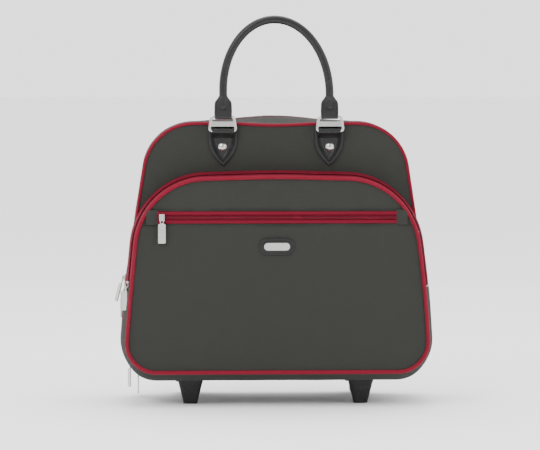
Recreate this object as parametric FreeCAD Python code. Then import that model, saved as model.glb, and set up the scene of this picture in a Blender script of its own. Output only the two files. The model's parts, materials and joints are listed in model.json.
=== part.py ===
"""Rolling laptop case: soft tote body on two front feet and two rear wheels, with a telescoping pull.

Millimetres. +X is the case's right as seen from in front, -Y is its front, +Z is up. The origin is on
the ground, under the middle of the case.
"""
import FreeCAD, Part
import math
import os

Vector = FreeCAD.Vector

# Overall sizes
BODY_WIDTH = 441.0        # across the seams at the bottom corners
BODY_TAPER = 90.0         # how much narrower it is where the sloping sides would meet the top
BODY_HEIGHT = 358.5       # from the bottom seam to the top seam
AXLE_DROP = 10.0          # wheel axles under the bottom seam
PANEL_GAP = 130.5         # between the inner faces of the front and back panels

# Side profile of the body seam
BOTTOM_CORNER_R = 54.0
TOP_CORNER_R = 70.0
HIP_OUT = 6.0             # how far the hip stands out of the straight side
HIP_DROP = 228.5          # hip under the top seam
HIP_R = 500.0

# Fabric
WALL = 2.5                # gusset wall
GUSSET_OUT = 3.0          # how far the gusset stands outside the seam
GUSSET_JOIN = 64.0        # joins of the side and top walls, under the top seam
PANEL_T = 4.7             # front and back panels with their padding
BODY_PIPING_R = 2.5
POCKET_PIPING_R = 3.0
SOFT_GAP = 0.3            # half the gap left between fabric on different bodies

# Zippers
TAPE_W = 8.0              # one half of a zipper, from its coil to its seam
MAIN_ZIP_Y = -12.0        # line of the main zipper
MAIN_ZIP_END = 112.0      # height of its lower ends over the bottom seam
LAPTOP_ZIP_FRONT = 2.0    # line of the laptop zipper in front of the wheel housing
LAPTOP_ZIP_END = 6.0      # height of its lower ends over the bottom seam

# Front pocket
POCKET_INSET = 7.0        # each side of its bottom from the body's seam
POCKET_TAPER = 48.0       # how much narrower it is at its top
POCKET_DROP = 75.5        # its top seam under the body's top seam
POCKET_LIFT = 11.0        # its bottom seam over the body's bottom seam
POCKET_ARCH = 4.0         # rise of the crown
POCKET_DEPTH = 29.0       # between the front panel and the pocket's own panel
POCKET_PANEL_T = 4.0
POCKET_SPREAD = 9.0       # how much wider the pocket is at its root, each side
POCKET_BOTTOM_R = 38.0
POCKET_TOP_R = 80.0
POCKET_ZIP_END = 130.0    # height of the zipper's lower ends over the body's bottom seam
POCKET_ZIP_BACK = 14.0    # from the front panel to the zipper's coil

# Zipper across the pocket panel
PANEL_ZIP_INSET = 21.5    # each end from the pocket's width at its top
PANEL_ZIP_WIDTH = 17.0
PANEL_ZIP_DROP = 54.0     # under the pocket's top seam
PANEL_ZIP_T = 1.5

# Badge
BADGE_W, BADGE_H, BADGE_T = 50.0, 24.0, 2.0
BADGE_DROP = 95.0         # under the pocket's top seam
PLATE_W, PLATE_H, PLATE_T = 36.0, 10.5, 1.0

# Handle fittings
RING_X = 75.5             # from the middle to each ring
RING_W, RING_TOP_W, RING_H = 38.0, 31.0, 20.5   # centre lines of a ring
RING_R = 2.0              # its wire
RING_CORNER = 4.0
RING_DROP = 9.5           # ring pin under the top seam
RING_OFF = 10.5           # ring pin in front of the panel's face
RING_BAR_Z, RING_BAR_H, RING_BAR_T = 10.2, 7.2, 3.0
PIN_GAP = 0.1             # running gap of leather loops on the ring wire
CHAPE_W, CHAPE_L, CHAPE_T = 40.0, 55.0, 3.0
CHAPE_LOOP_W = 28.0
CHAPE_POINT = 34.0        # height of the tapering lower end
LOOP_T = 2.0
RIVET_R, RIVET_DOME, RIVET_SHANK_R = 6.0, 2.8, 1.6
RIVET_DROP = 22.0         # rivet under the ring pin

# Handles
HANDLE_R = 5.75
HANDLE_RISE = 136.0       # from the ring's upper bar to the crown's centre line
CUFF_W, CUFF_H, CUFF_T = 25.0, 24.0, 7.5
BACK_HANDLE_TILT = 6.5    # degrees off the vertical, where it rests on the tubes

# Telescoping pull
TUBE_X = 38.0
TUBE_W = 20.0
TUBE_D = 14.0
TUBE_WALL, TUBE_CORNER = 1.2, 3.0
STAGE_GAP = 0.4
TUBE_OFF = 1.0            # behind the back panel's face
TUBE_DROP = 28.5          # outer tubes' ends under the body's top seam
STAGE_STEP = 4.0          # each stage starts this much above the last one
TOP_BRACKET_H = 22.0
GRIP_H, GRIP_D = 19.5, 15.5
GRIP_SIDE = 13.0          # grip beyond the tubes' centre lines
GRIP_LIFT = 4.5           # grip over the top bracket
GRIP_INSERT = 9.0         # inner tubes inside the grip
BUTTON_W, BUTTON_D, BUTTON_H, BUTTON_UP = 40.0, 8.0, 6.5, 2.5
BUTTON_TRAVEL = 3.0
BUTTON_GAP = 0.3

# Wheels and their housings
WHEEL_X = 124.0
WHEEL_R = 28.0
WHEEL_W = 20.0
WHEEL_BACK = 5.05         # axle behind the back panel's face
TYRE_T = 5.5
AXLE_R = 4.0
AXLE_GAP = 0.05
BEARING_R, BEARING_W = 11.0, 7.0
HUB_BORE_R = 8.5
WELL_GAP = 2.0            # around the wheel
CHEEK_T = 5.0
HOUSING_SKIN = 4.0        # over and in front of the wheel wells
HOUSING_BACK = 20.0       # behind the axle
HOUSING_LOW = 10.0        # under the axle
AXLE_HEAD_R, AXLE_HEAD_T = 6.5, 1.8

# Feet
FOOT_X = 121.0
FOOT_IN = 18.25           # behind the front panel's inner face
FOOT_TOP, FOOT_BOTTOM = 36.0, 20.0
SCREW_R, SCREW_HEAD_R, SCREW_HEAD_T = 2.0, 4.0, 2.5
SCREW_RECESS = 12.0

# Inside
BOARD_T = 3.0
DIVIDER_Y = 26.0
DIVIDER_T = 4.0
DIVIDER_DROP = 68.5       # its upper edge under the top seam

# Zip sliders and pulls
SLIDER_W, SLIDER_L, SLIDER_T = 8.0, 10.0, 2.4
SLIDER_EDGE_R = 1.0
EAR_T, EAR_GAP, EAR_H = 1.2, 4.8, 3.0
PIN_R = 0.8
PULL_EYE_R = 1.5
PULL_NECK_W, PULL_NECK_L = 4.4, 9.0
TAG_W, TAG_L, TAG_T = 9.0, 26.0, 1.6
SLIDER_OFF = 0.8          # over the tape
PULL_TILT = 15.0          # degrees; the upper main pull lies over the lower slider
PANEL_SLIDER_IN = 7.0     # from the zipper's end
POCKET_SLIDER_UP = 4.0    # over the zipper's lower end
MAIN_SLIDER_UP = 5.5
SLIDER_PITCH = 22.0       # between the main zipper's two sliders
LAPTOP_SLIDER_ANGLES = (43.0, 57.0)   # degrees under the level, round the bottom corner

# Worked-out sizes
GROUND_GAP = WHEEL_R + AXLE_DROP
TOP_WIDTH = BODY_WIDTH - BODY_TAPER
HIP_RISE = BODY_HEIGHT - HIP_DROP
POCKET_WIDTH = BODY_WIDTH - 2 * POCKET_INSET
POCKET_TOP_WIDTH = POCKET_WIDTH - POCKET_TAPER
POCKET_HEIGHT = BODY_HEIGHT - POCKET_DROP - POCKET_LIFT
PANEL_ZIP_LENGTH = POCKET_TOP_WIDTH - 2 * PANEL_ZIP_INSET
PANEL_ZIP_RISE = POCKET_HEIGHT - PANEL_ZIP_DROP
BADGE_RISE = POCKET_HEIGHT - BADGE_DROP
TUBE_TOP = GROUND_GAP + BODY_HEIGHT - TUBE_DROP
DIVIDER_TOP = BODY_HEIGHT - DIVIDER_DROP
HOUSING_TOP = WHEEL_R + WELL_GAP + HOUSING_SKIN
HOUSING_FRONT = WHEEL_R + WELL_GAP + HOUSING_SKIN

# Worked-out places
BOTTOM_Z = GROUND_GAP
TOP_Z = GROUND_GAP + BODY_HEIGHT
UNDER_Z = BOTTOM_Z - GUSSET_OUT
FRONT_IN_Y = -PANEL_GAP / 2 + 5.0
FRONT_FACE_Y = FRONT_IN_Y - PANEL_T
BACK_IN_Y = FRONT_IN_Y + PANEL_GAP
BACK_FACE_Y = BACK_IN_Y + PANEL_T
POCKET_IN_Y = FRONT_FACE_Y - POCKET_DEPTH
POCKET_FACE_Y = POCKET_IN_Y - POCKET_PANEL_T
POCKET_Z = BOTTOM_Z + POCKET_LIFT
FRONT_PIN_Y = FRONT_FACE_Y - RING_OFF
BACK_PIN_Y = BACK_FACE_Y + RING_OFF
PIN_Z = TOP_Z - RING_DROP
TUBE_Y = BACK_FACE_Y + TUBE_OFF + TUBE_D / 2
AXLE_Z = WHEEL_R
WHEEL_Y = BACK_FACE_Y + WHEEL_BACK
FOOT_Y = FRONT_IN_Y + FOOT_IN
LAPTOP_ZIP_Y = WHEEL_Y - HOUSING_FRONT - LAPTOP_ZIP_FRONT
HOUSING_HALF = WHEEL_W / 2 + WELL_GAP + CHEEK_T
HOUSING_TOP_Z = AXLE_Z + HOUSING_TOP
BIG = 2 * (BODY_WIDTH + BODY_HEIGHT)


# Outlines: lists of (x, z, corner radius), anticlockwise as seen from behind

def mirrored(right_side):
    """A whole outline from its right side, listed from the bottom up; a corner at x = 0 isn't repeated."""
    left = [(-x, z, r) for x, z, r in reversed(right_side) if x > 0]
    return right_side + left


def body_outline():
    """Seam line of the front and back panels."""
    low, high = BODY_WIDTH / 2, TOP_WIDTH / 2
    hip = low + (high - low) * HIP_RISE / BODY_HEIGHT + HIP_OUT
    return mirrored([(low, BOTTOM_Z, BOTTOM_CORNER_R), (hip, BOTTOM_Z + HIP_RISE, HIP_R),
                     (high, TOP_Z, TOP_CORNER_R)])


def pocket_outline():
    """Seam line of the pocket's panel."""
    top = POCKET_Z + POCKET_HEIGHT
    return mirrored([(POCKET_WIDTH / 2, POCKET_Z, POCKET_BOTTOM_R),
                     (POCKET_TOP_WIDTH / 2, top - POCKET_ARCH / 2, POCKET_TOP_R),
                     (0.0, top + POCKET_ARCH / 2, POCKET_WIDTH * 4)])


def unit(a, b):
    length = math.hypot(b[0] - a[0], b[1] - a[1])
    return (b[0] - a[0]) / length, (b[1] - a[1]) / length


def grown(corners, amount):
    """The outline moved outward by amount, or inward where it is negative."""
    result = []
    for i, (x, z, r) in enumerate(corners):
        into = unit(corners[i - 1], corners[i])
        out = unit(corners[i], corners[(i + 1) % len(corners)])
        normals = (into[1] + out[1], -into[0] - out[0])
        scale = amount / (1 + into[1] * out[1] + into[0] * out[0])
        result.append((x + normals[0] * scale, z + normals[1] * scale, r + amount))
    return result


def between(near, far, share):
    """The outline part of the way from one outline to another with as many corners."""
    return [tuple(p + (q - p) * share for p, q in zip(a, b)) for a, b in zip(near, far)]


def outline_wire(corners, y, upright=True):
    """A closed wire with tangent arcs; upright lies in XZ at y, otherwise it lies in YZ at x = y."""
    def place(p):
        return Vector(p[0], y, p[1]) if upright else Vector(y, p[0], p[1])

    stations = []
    for i, (x, z, r) in enumerate(corners):
        into = unit(corners[i - 1], corners[i])
        out = unit(corners[i], corners[(i + 1) % len(corners)])
        turn = math.acos(max(-1.0, min(1.0, into[0] * out[0] + into[1] * out[1])))
        reach = r * math.tan(turn / 2)
        start = (x - into[0] * reach, z - into[1] * reach)
        end = (x + out[0] * reach, z + out[1] * reach)
        inward = (out[0] - into[0], out[1] - into[1])
        size = math.hypot(*inward)
        bulge = r / math.cos(turn / 2) - r
        middle = (x + inward[0] / size * bulge, z + inward[1] / size * bulge)
        stations.append((start, middle, end))
    edges = []
    for i, (start, middle, end) in enumerate(stations):
        edges.append(Part.Arc(place(start), place(middle), place(end)).toShape())
        following = stations[(i + 1) % len(stations)][0]
        edges.append(Part.LineSegment(place(end), place(following)).toShape())
    return Part.Wire(edges)


# Solids

def slab(corners, y_low, y_high):
    """A flat panel of the outline between two depths."""
    return Part.Face(outline_wire(corners, y_low)).extrude(Vector(0, y_high - y_low, 0))


def hoop(corners, y_low, y_high):
    """A wall strip that runs all round the outline, its outer face on it."""
    return slab(corners, y_low, y_high).cut(slab(grown(corners, -WALL), y_low - 1, y_high + 1))


def sloping_hoop(near, y_near, far, y_far):
    """A wall strip that widens from one outline to another."""
    outer = Part.makeLoft([outline_wire(near, y_near), outline_wire(far, y_far)], True, True)
    inner = Part.makeLoft([outline_wire(grown(near, -WALL), y_near),
                           outline_wire(grown(far, -WALL), y_far)], True, True)
    return outer.cut(inner)


def block(x, y, z):
    """A box from three (low, high) pairs."""
    return Part.makeBox(x[1] - x[0], y[1] - y[0], z[1] - z[0], Vector(x[0], y[0], z[0]))


def soft_block(x, y, z, radius):
    """A box with every edge rounded."""
    shape = block(x, y, z)
    return shape.makeFillet(radius, shape.Edges)


def above(shape, z):
    return shape.common(block((-BIG, BIG), (-BIG, BIG), (z, BIG)))


def below(shape, z):
    return shape.common(block((-BIG, BIG), (-BIG, BIG), (-BIG, z)))


def rod(radius, start, end):
    """A cylinder from one point to another."""
    start, end = Vector(*start), Vector(*end)
    return Part.makeCylinder(radius, (end - start).Length, start, end - start)


def cord_round(corners, y, radius):
    """A round cord sewn along the outline."""
    spine = outline_wire(corners, y)
    edge = spine.OrderedEdges[1]
    at, along = edge.valueAt(edge.FirstParameter), edge.tangentAt(edge.FirstParameter)
    profile = Part.Wire(Part.makeCircle(radius, at, along))
    return Part.Solid(spine.makePipeShell([profile], True, False))


def both_sides(make, x):
    """The same piece at x and -x, as one group of solids."""
    return Part.makeCompound([make(x), make(-x)])


def solids(shape):
    """A group of the shape's solids with no leftover faces or edges."""
    pieces = shape.removeSplitter().Solids
    return pieces[0] if len(pieces) == 1 else Part.makeCompound(pieces)


# Body

def gusset_outline():
    return grown(body_outline(), GUSSET_OUT)


def rear_gusset():
    """Side, top and bottom walls between the two body zippers, sewn end to end."""
    line = gusset_outline()
    end = BOTTOM_Z + LAPTOP_ZIP_END
    wall = above(hoop(line, MAIN_ZIP_Y + TAPE_W, LAPTOP_ZIP_Y - TAPE_W), end + SOFT_GAP)
    bottom = below(hoop(line, MAIN_ZIP_Y + TAPE_W, LAPTOP_ZIP_Y - SOFT_GAP), end)
    sides = below(wall, TOP_Z - GUSSET_JOIN)
    top = above(wall, TOP_Z - GUSSET_JOIN + SOFT_GAP)
    return Part.makeCompound(sides.Solids + top.Solids + [bottom])


def screw_holes(radius):
    return both_sides(lambda x: rod(radius, (x, FOOT_Y, 0), (x, FOOT_Y, BOTTOM_Z + BOARD_T)), FOOT_X)


def bottom_gusset():
    """Bottom and lower side walls under the ends of the main zipper."""
    wall = hoop(gusset_outline(), FRONT_IN_Y + SOFT_GAP, MAIN_ZIP_Y + TAPE_W)
    return below(wall, BOTTOM_Z + MAIN_ZIP_END).cut(screw_holes(SCREW_R))


def bottom_board():
    """Stiff board that lies on the bottom."""
    floor = UNDER_Z + WALL
    half = BODY_WIDTH / 2 - BOTTOM_CORNER_R - 12
    board = block((-half, half), (FRONT_IN_Y + 5, DIVIDER_Y - 1), (floor, floor + BOARD_T))
    return board.cut(screw_holes(SCREW_R))


def foot(x):
    """A tapered foot."""
    def square(size, z):
        h, c = size / 2, size * 0.22
        ring = [(h, -h, c), (h, h, c), (-h, h, c), (-h, -h, c)]
        wire = outline_wire(ring, 0)
        wire.rotate(Vector(0, 0, 0), Vector(1, 0, 0), -90)
        wire.translate(Vector(x, FOOT_Y, z))
        return wire
    body = Part.makeLoft([square(FOOT_BOTTOM, 0), square(FOOT_TOP, UNDER_Z)], True, True)
    body = body.cut(rod(SCREW_HEAD_R, (x, FOOT_Y, 0), (x, FOOT_Y, SCREW_RECESS)))
    return body.cut(rod(SCREW_R, (x, FOOT_Y, 0), (x, FOOT_Y, UNDER_Z)))


def foot_screw(x):
    head = rod(SCREW_HEAD_R, (x, FOOT_Y, SCREW_RECESS - SCREW_HEAD_T), (x, FOOT_Y, SCREW_RECESS))
    shank = rod(SCREW_R, (x, FOOT_Y, SCREW_RECESS), (x, FOOT_Y, UNDER_Z + WALL + BOARD_T))
    return head.fuse(shank)


def laptop_divider():
    """Padded wall between the main and laptop compartments."""
    line = grown(gusset_outline(), -WALL)
    return below(slab(line, DIVIDER_Y, DIVIDER_Y + DIVIDER_T), BOTTOM_Z + DIVIDER_TOP)


# Front section

def front_panel():
    line = grown(body_outline(), -BODY_PIPING_R)
    panel = slab(line, FRONT_FACE_Y, FRONT_IN_Y - SOFT_GAP)
    return panel.cut(shank_group(FRONT_FACE_Y, -1))


def front_gusset():
    wall = hoop(gusset_outline(), FRONT_IN_Y + SOFT_GAP, MAIN_ZIP_Y - TAPE_W)
    return above(wall, BOTTOM_Z + MAIN_ZIP_END + 2 * SOFT_GAP)


def main_zip_tape(side):
    """One half of the main zipper; side -1 is its front half and 1 its rear half."""
    y = sorted((MAIN_ZIP_Y + side * SOFT_GAP, MAIN_ZIP_Y + side * TAPE_W))
    return above(hoop(gusset_outline(), *y), BOTTOM_Z + MAIN_ZIP_END + 2 * SOFT_GAP)


def laptop_zip_tape(side):
    """One half of the laptop zipper; side -1 is its front half and 1 its rear half."""
    y = sorted((LAPTOP_ZIP_Y + side * SOFT_GAP, LAPTOP_ZIP_Y + side * TAPE_W))
    return above(hoop(gusset_outline(), *y), BOTTOM_Z + LAPTOP_ZIP_END)


# Front pocket

def pocket_depths():
    """Depths of the pocket wall's root, its zipper line and its front end."""
    root = FRONT_FACE_Y - SOFT_GAP
    return root, FRONT_FACE_Y - POCKET_ZIP_BACK, POCKET_IN_Y + SOFT_GAP


def pocket_wall_line(y):
    """The pocket wall's outline at a depth, from its wide root to its panel's seam."""
    root, _, front = pocket_depths()
    share = (y - root) / (front - root)
    return between(grown(pocket_outline(), POCKET_SPREAD), pocket_outline(), share)


def pocket_wall(y_near, y_far):
    near, far = pocket_wall_line(y_near), pocket_wall_line(y_far)
    return sloping_hoop(near, y_near, far, y_far)


def pocket_gusset():
    root, _, front = pocket_depths()
    return below(pocket_wall(root, front + SOFT_GAP), BOTTOM_Z + POCKET_ZIP_END)


def pocket_zip_outer_tape():
    root, zip_y, _ = pocket_depths()
    return above(pocket_wall(root, zip_y + SOFT_GAP), BOTTOM_Z + POCKET_ZIP_END)


def pocket_zip_inner_tape():
    _, zip_y, front = pocket_depths()
    return above(pocket_wall(zip_y - SOFT_GAP, front), BOTTOM_Z + POCKET_ZIP_END + 2 * SOFT_GAP)


def pocket_panel():
    line = grown(pocket_outline(), -POCKET_PIPING_R)
    return slab(line, POCKET_FACE_Y, POCKET_IN_Y)


def pocket_piping():
    return cord_round(pocket_outline(), POCKET_IN_Y - POCKET_PIPING_R + SOFT_GAP, POCKET_PIPING_R)


def panel_zip():
    z = POCKET_Z + PANEL_ZIP_RISE
    half = PANEL_ZIP_LENGTH / 2
    return block((-half, half), (POCKET_FACE_Y - PANEL_ZIP_T, POCKET_FACE_Y),
                 (z - PANEL_ZIP_WIDTH / 2, z + PANEL_ZIP_WIDTH / 2))


def oval(width, height, y_low, y_high, z):
    """A flat plate with half-round ends."""
    w, h = width / 2, height / 2
    corners = [(w, z - h, h * 0.98), (w, z + h, h * 0.98), (-w, z + h, h * 0.98), (-w, z - h, h * 0.98)]
    return slab(corners, y_low, y_high)


def badge_patch():
    return oval(BADGE_W, BADGE_H, POCKET_FACE_Y - BADGE_T, POCKET_FACE_Y, POCKET_Z + BADGE_RISE)


def badge_plate():
    face = POCKET_FACE_Y - BADGE_T
    return oval(PLATE_W, PLATE_H, face - PLATE_T, face, POCKET_Z + BADGE_RISE)


# Handle fittings, made for one side of the case: side -1 is the front and 1 the back

def shank_group(face, side):
    z = PIN_Z - RIVET_DROP
    return both_sides(lambda x: rod(RIVET_SHANK_R, (x, face + side * CHAPE_T, z),
                                    (x, face - side * PANEL_T, z)), RING_X)


def chapes(face, side):
    """Leather tabs with a loop at the top for the ring, and a pointed lower end."""
    pin_y = face + side * RING_OFF
    depths = sorted((face, face + side * CHAPE_T))

    def one(x):
        half, low = CHAPE_W / 2, PIN_Z + 5 - CHAPE_L
        bend = low + CHAPE_POINT
        corners = [(x, low, 3), (x + half * 0.8, low + CHAPE_POINT * 0.5, 30), (x + half, bend, 20),
                   (x + half, PIN_Z + 3, 3), (x - half, PIN_Z + 3, 3), (x - half, bend, 20),
                   (x - half * 0.8, low + CHAPE_POINT * 0.5, 30)]
        tab = slab(corners, *depths)
        ends = ((x - CHAPE_LOOP_W / 2, pin_y, PIN_Z), (x + CHAPE_LOOP_W / 2, pin_y, PIN_Z))
        reach = sorted((face, pin_y))
        web = block((ends[0][0], ends[1][0]), reach, (PIN_Z - RING_R - LOOP_T, PIN_Z + RING_R))
        return tab.fuse([rod(RING_R + LOOP_T, *ends), web]).cut(rod(RING_R + PIN_GAP, *ends))
    return both_sides(one, RING_X).cut(shank_group(face, side))


def rivets(face, side):
    """Domed heads on shanks that pass through the tab and the panel."""
    z = PIN_Z - RIVET_DROP
    ball_r = (RIVET_R ** 2 + RIVET_DOME ** 2) / (2 * RIVET_DOME)
    base, end = face + side * CHAPE_T, face - side * PANEL_T
    half_r = RIVET_R / 2
    half_rise = RIVET_DOME - ball_r + math.sqrt(ball_r ** 2 - half_r ** 2)

    def one(x):
        def at(out, y):
            return Vector(x + out, y, z)
        dome = Part.Arc(at(0, base + side * RIVET_DOME), at(half_r, base + side * half_rise),
                        at(RIVET_R, base)).toShape()
        stops = [at(RIVET_R, base), at(RIVET_SHANK_R, base), at(RIVET_SHANK_R, end), at(0, end),
                 at(0, base + side * RIVET_DOME)]
        edges = [Part.makeLine(a, b) for a, b in zip(stops, stops[1:])]
        section = Part.Face(Part.Wire([dome] + edges))
        return section.revolve(at(0, base), Vector(0, 1, 0), 360)
    return both_sides(one, RING_X)


def rings(pin_y, up):
    """Rings that narrow towards the handle, with a flat cross bar; up is 1 where they stand, else -1."""
    def one(x):
        half, far = RING_W / 2, RING_TOP_W / 2
        at_pin, at_handle = ((x + half, PIN_Z, RING_CORNER), (x + far, PIN_Z + up * RING_H, RING_CORNER))
        right = [at_pin, at_handle]
        left = [(2 * x - a, z, r) for a, z, r in reversed(right)]
        corners = (right + left)[::up]
        frame = cord_round(corners, pin_y, RING_R)
        middle = PIN_Z + up * RING_BAR_Z
        half += (far - half) * RING_BAR_Z / RING_H
        bar = soft_block((x - half, x + half), (pin_y - RING_BAR_T / 2, pin_y + RING_BAR_T / 2),
                         (middle - RING_BAR_H / 2, middle + RING_BAR_H / 2), 0.6)
        return frame.fuse(bar)
    return both_sides(one, RING_X)


def arch_path(pin_y):
    """Centre line of a standing handle over the rings' upper bars."""
    base = PIN_Z + RING_H
    spring = base + CUFF_H + 10
    rise = base + HANDLE_RISE - spring
    crown = Part.ArcOfEllipse(Part.Ellipse(Vector(0, 0, 0), rise, RING_X), -math.pi / 2, math.pi / 2)
    arc = crown.toShape()
    turn = FreeCAD.Rotation(Vector(0, 0, 1), Vector(1, 0, 0), Vector(0, 1, 0))
    arc.Placement = FreeCAD.Placement(Vector(0, pin_y, spring), turn)
    low = base + CUFF_H - 1
    ends = [Part.LineSegment(Vector(x, pin_y, z0), Vector(x, pin_y, z1)).toShape()
            for x, z0, z1 in ((-RING_X, low, spring), (RING_X, spring, low))]
    return Part.Wire([ends[0], arc, ends[1]])


def handle_roll(pin_y):
    path = arch_path(pin_y)
    start = Vector(-RING_X, pin_y, PIN_Z + RING_H + CUFF_H - 1)
    profile = Part.Wire(Part.makeCircle(HANDLE_R, start, Vector(0, 0, 1)))
    return Part.Solid(path.makePipeShell([profile], True, False))


def handle_cuffs(pin_y):
    """Flattened ends of the handle, folded round the rings' upper bars."""
    base = PIN_Z + RING_H

    def one(x):
        half = CUFF_W / 2
        cuff = soft_block((x - half, x + half), (pin_y - CUFF_T / 2, pin_y + CUFF_T / 2),
                          (base - RING_R - LOOP_T, base + CUFF_H), 2.2)
        return cuff.cut(rod(RING_R + PIN_GAP, (x - half, pin_y, base), (x + half, pin_y, base)))
    return both_sides(one, RING_X).cut(handle_roll(pin_y))


def hung(shape):
    """A standing handle part turned over to hang behind the case, resting on the tubes."""
    shape = shape.copy()
    shape.rotate(Vector(0, BACK_PIN_Y, PIN_Z), Vector(1, 0, 0), 180)
    shape.rotate(Vector(0, BACK_PIN_Y, PIN_Z - RING_H), Vector(1, 0, 0), BACK_HANDLE_TILT)
    return shape


# Telescoping pull

def tube_section(x, shrink, z_low, z_high):
    w, d = TUBE_W / 2 - shrink, TUBE_D / 2 - shrink
    bar = block((x - w, x + w), (TUBE_Y - d, TUBE_Y + d), (z_low, z_high))
    upright = [e for e in bar.Edges if abs(e.tangentAt(e.FirstParameter).z) > 0.9]
    return bar.makeFillet(max(TUBE_CORNER - shrink, 0.6), upright)


def stage_shrink(stage):
    return stage * (TUBE_WALL + STAGE_GAP)


def tubes(stage, top):
    """The two tubes of one stage; stage 0 is fixed, and each later one nests in the one before."""
    low = HOUSING_TOP_Z + stage * STAGE_STEP
    shrink = stage_shrink(stage)

    def one(x):
        bore = tube_section(x, shrink + TUBE_WALL, low - 1, top + 1)
        return tube_section(x, shrink, low, top).cut(bore)
    return both_sides(one, TUBE_X)


def top_bracket():
    """Plastic bridge that holds the fixed tubes' upper ends against the back panel."""
    reach = TUBE_X + GRIP_SIDE
    depth = TUBE_Y + TUBE_D / 2 + 2
    body = block((-reach, reach), (BACK_FACE_Y, depth), (TUBE_TOP - TOP_BRACKET_H, TUBE_TOP))
    rear = [e for e in body.Edges if min(v.Point.y for v in e.Vertexes) > depth - 0.1]
    body = body.makeFillet(1.5, rear)
    return body.cut(both_sides(lambda x: tube_section(x, 0, 0, TOP_Z), TUBE_X))


def grip_box():
    reach = TUBE_X + GRIP_SIDE
    low = TUBE_TOP + GRIP_LIFT
    return (-reach, reach), (TUBE_Y - GRIP_D / 2, TUBE_Y + GRIP_D / 2), (low, low + GRIP_H)


def button_box(gap):
    top = grip_box()[2][1]
    w, d = BUTTON_W / 2 + gap, BUTTON_D / 2 + gap
    return (-w, w), (TUBE_Y - d, TUBE_Y + d), (top - BUTTON_H + BUTTON_UP, top + BUTTON_UP)


def pull_grip():
    x, y, z = grip_box()
    body = soft_block(x, y, z, 4.5)
    shrink = stage_shrink(2)
    sockets = both_sides(lambda at: tube_section(at, shrink, z[0] - 1, z[0] + GRIP_INSERT), TUBE_X)
    wide, deep, tall = button_box(BUTTON_GAP)
    well = block(wide, deep, (tall[0] - BUTTON_TRAVEL - BUTTON_GAP, tall[1] + 1))
    return body.cut(sockets).cut(well)


def release_button():
    return soft_block(*button_box(0), 1.2)


# Wheels

def housing_profile():
    """Side view of a wheel housing, as (y, z, radius) corners."""
    front, back = WHEEL_Y - HOUSING_FRONT, WHEEL_Y + HOUSING_BACK
    low = AXLE_Z - HOUSING_LOW
    return [(front, UNDER_Z, 1.5), (WHEEL_Y - 12, low, 9), (WHEEL_Y + 12, low, 9),
            (back, AXLE_Z + 12, 6), (back, HOUSING_TOP_Z, 5), (front, HOUSING_TOP_Z, 3)]


def housing_blank(x, spare=0.0):
    """The solid block that a housing fills, grown by spare."""
    face = Part.Face(outline_wire(grown(housing_profile(), spare), x - HOUSING_HALF - spare, False))
    return face.extrude(Vector(2 * (HOUSING_HALF + spare), 0, 0))


def base_housing():
    """Two wheel housings joined by a bar that carries the tubes."""
    def one(x):
        half = WHEEL_W / 2 + WELL_GAP
        well = rod(WHEEL_R + WELL_GAP, (x - half, WHEEL_Y, AXLE_Z), (x + half, WHEEL_Y, AXLE_Z))
        open_front = block((x - half, x + half), (WHEEL_Y - BIG, WHEEL_Y + WHEEL_R + WELL_GAP),
                           (0, AXLE_Z))
        hole = rod(AXLE_R, (x - BIG, WHEEL_Y, AXLE_Z), (x + BIG, WHEEL_Y, AXLE_Z))
        return housing_blank(x).cut([well, open_front, hole])
    inner = WHEEL_X - HOUSING_HALF
    bar = block((-inner, inner), (BACK_FACE_Y, WHEEL_Y + HOUSING_BACK - 2), (UNDER_Z + 5, HOUSING_TOP_Z))
    return both_sides(one, WHEEL_X).fuse(bar)


def wheel_axles():
    def one(x):
        half = HOUSING_HALF
        pin = rod(AXLE_R, (x - half, WHEEL_Y, AXLE_Z), (x + half, WHEEL_Y, AXLE_Z))
        heads = [rod(AXLE_HEAD_R, (a, WHEEL_Y, AXLE_Z), (a + AXLE_HEAD_T, WHEEL_Y, AXLE_Z))
                 for a in (x - half - AXLE_HEAD_T, x + half)]
        return pin.fuse(heads)
    return both_sides(one, WHEEL_X)


def wheel_disc(x, radius, half):
    return rod(radius, (x - half, WHEEL_Y, AXLE_Z), (x + half, WHEEL_Y, AXLE_Z))


def wheel_tyre(x):
    half = WHEEL_W / 2
    tyre = wheel_disc(x, WHEEL_R, half)
    tyre = tyre.makeFillet(3.0, [e for e in tyre.Edges if e.isClosed() and e.Length > 1])
    return tyre.cut(wheel_disc(x, WHEEL_R - TYRE_T, half + 1))


def wheel_hub(x):
    half = WHEEL_W / 2 - 0.5
    hub = wheel_disc(x, WHEEL_R - TYRE_T, half).cut(wheel_disc(x, HUB_BORE_R, half + 1))
    for side in (-1, 1):
        inner = x + side * (half - BEARING_W)
        hub = hub.cut(rod(BEARING_R, (inner, WHEEL_Y, AXLE_Z), (inner + side * BIG, WHEEL_Y, AXLE_Z)))
        dish = rod(WHEEL_R - TYRE_T - 2.5, (x + side * (half - 3), WHEEL_Y, AXLE_Z),
                   (x + side * (half + 1), WHEEL_Y, AXLE_Z))
        hub = hub.cut(dish.cut(wheel_disc(x, BEARING_R + 2, BIG)))
    return hub


def wheel_bearings(x):
    half = WHEEL_W / 2 - 0.5

    def one(side):
        ends = sorted((x + side * half, x + side * (half - BEARING_W)))
        ring = rod(BEARING_R, (ends[0], WHEEL_Y, AXLE_Z), (ends[1], WHEEL_Y, AXLE_Z))
        return ring.cut(wheel_disc(x, AXLE_R + AXLE_GAP, WHEEL_W))
    return Part.makeCompound([one(-1), one(1)])


# Back section

def back_panel():
    line = grown(body_outline(), -BODY_PIPING_R)
    panel = slab(line, BACK_IN_Y, BACK_FACE_Y).cut(both_sides(housing_blank, WHEEL_X))
    return panel.cut(shank_group(BACK_FACE_Y, 1))


def back_piping():
    cord = cord_round(body_outline(), BACK_FACE_Y - BODY_PIPING_R, BODY_PIPING_R)
    return cord.cut(both_sides(housing_blank, WHEEL_X))


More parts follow.
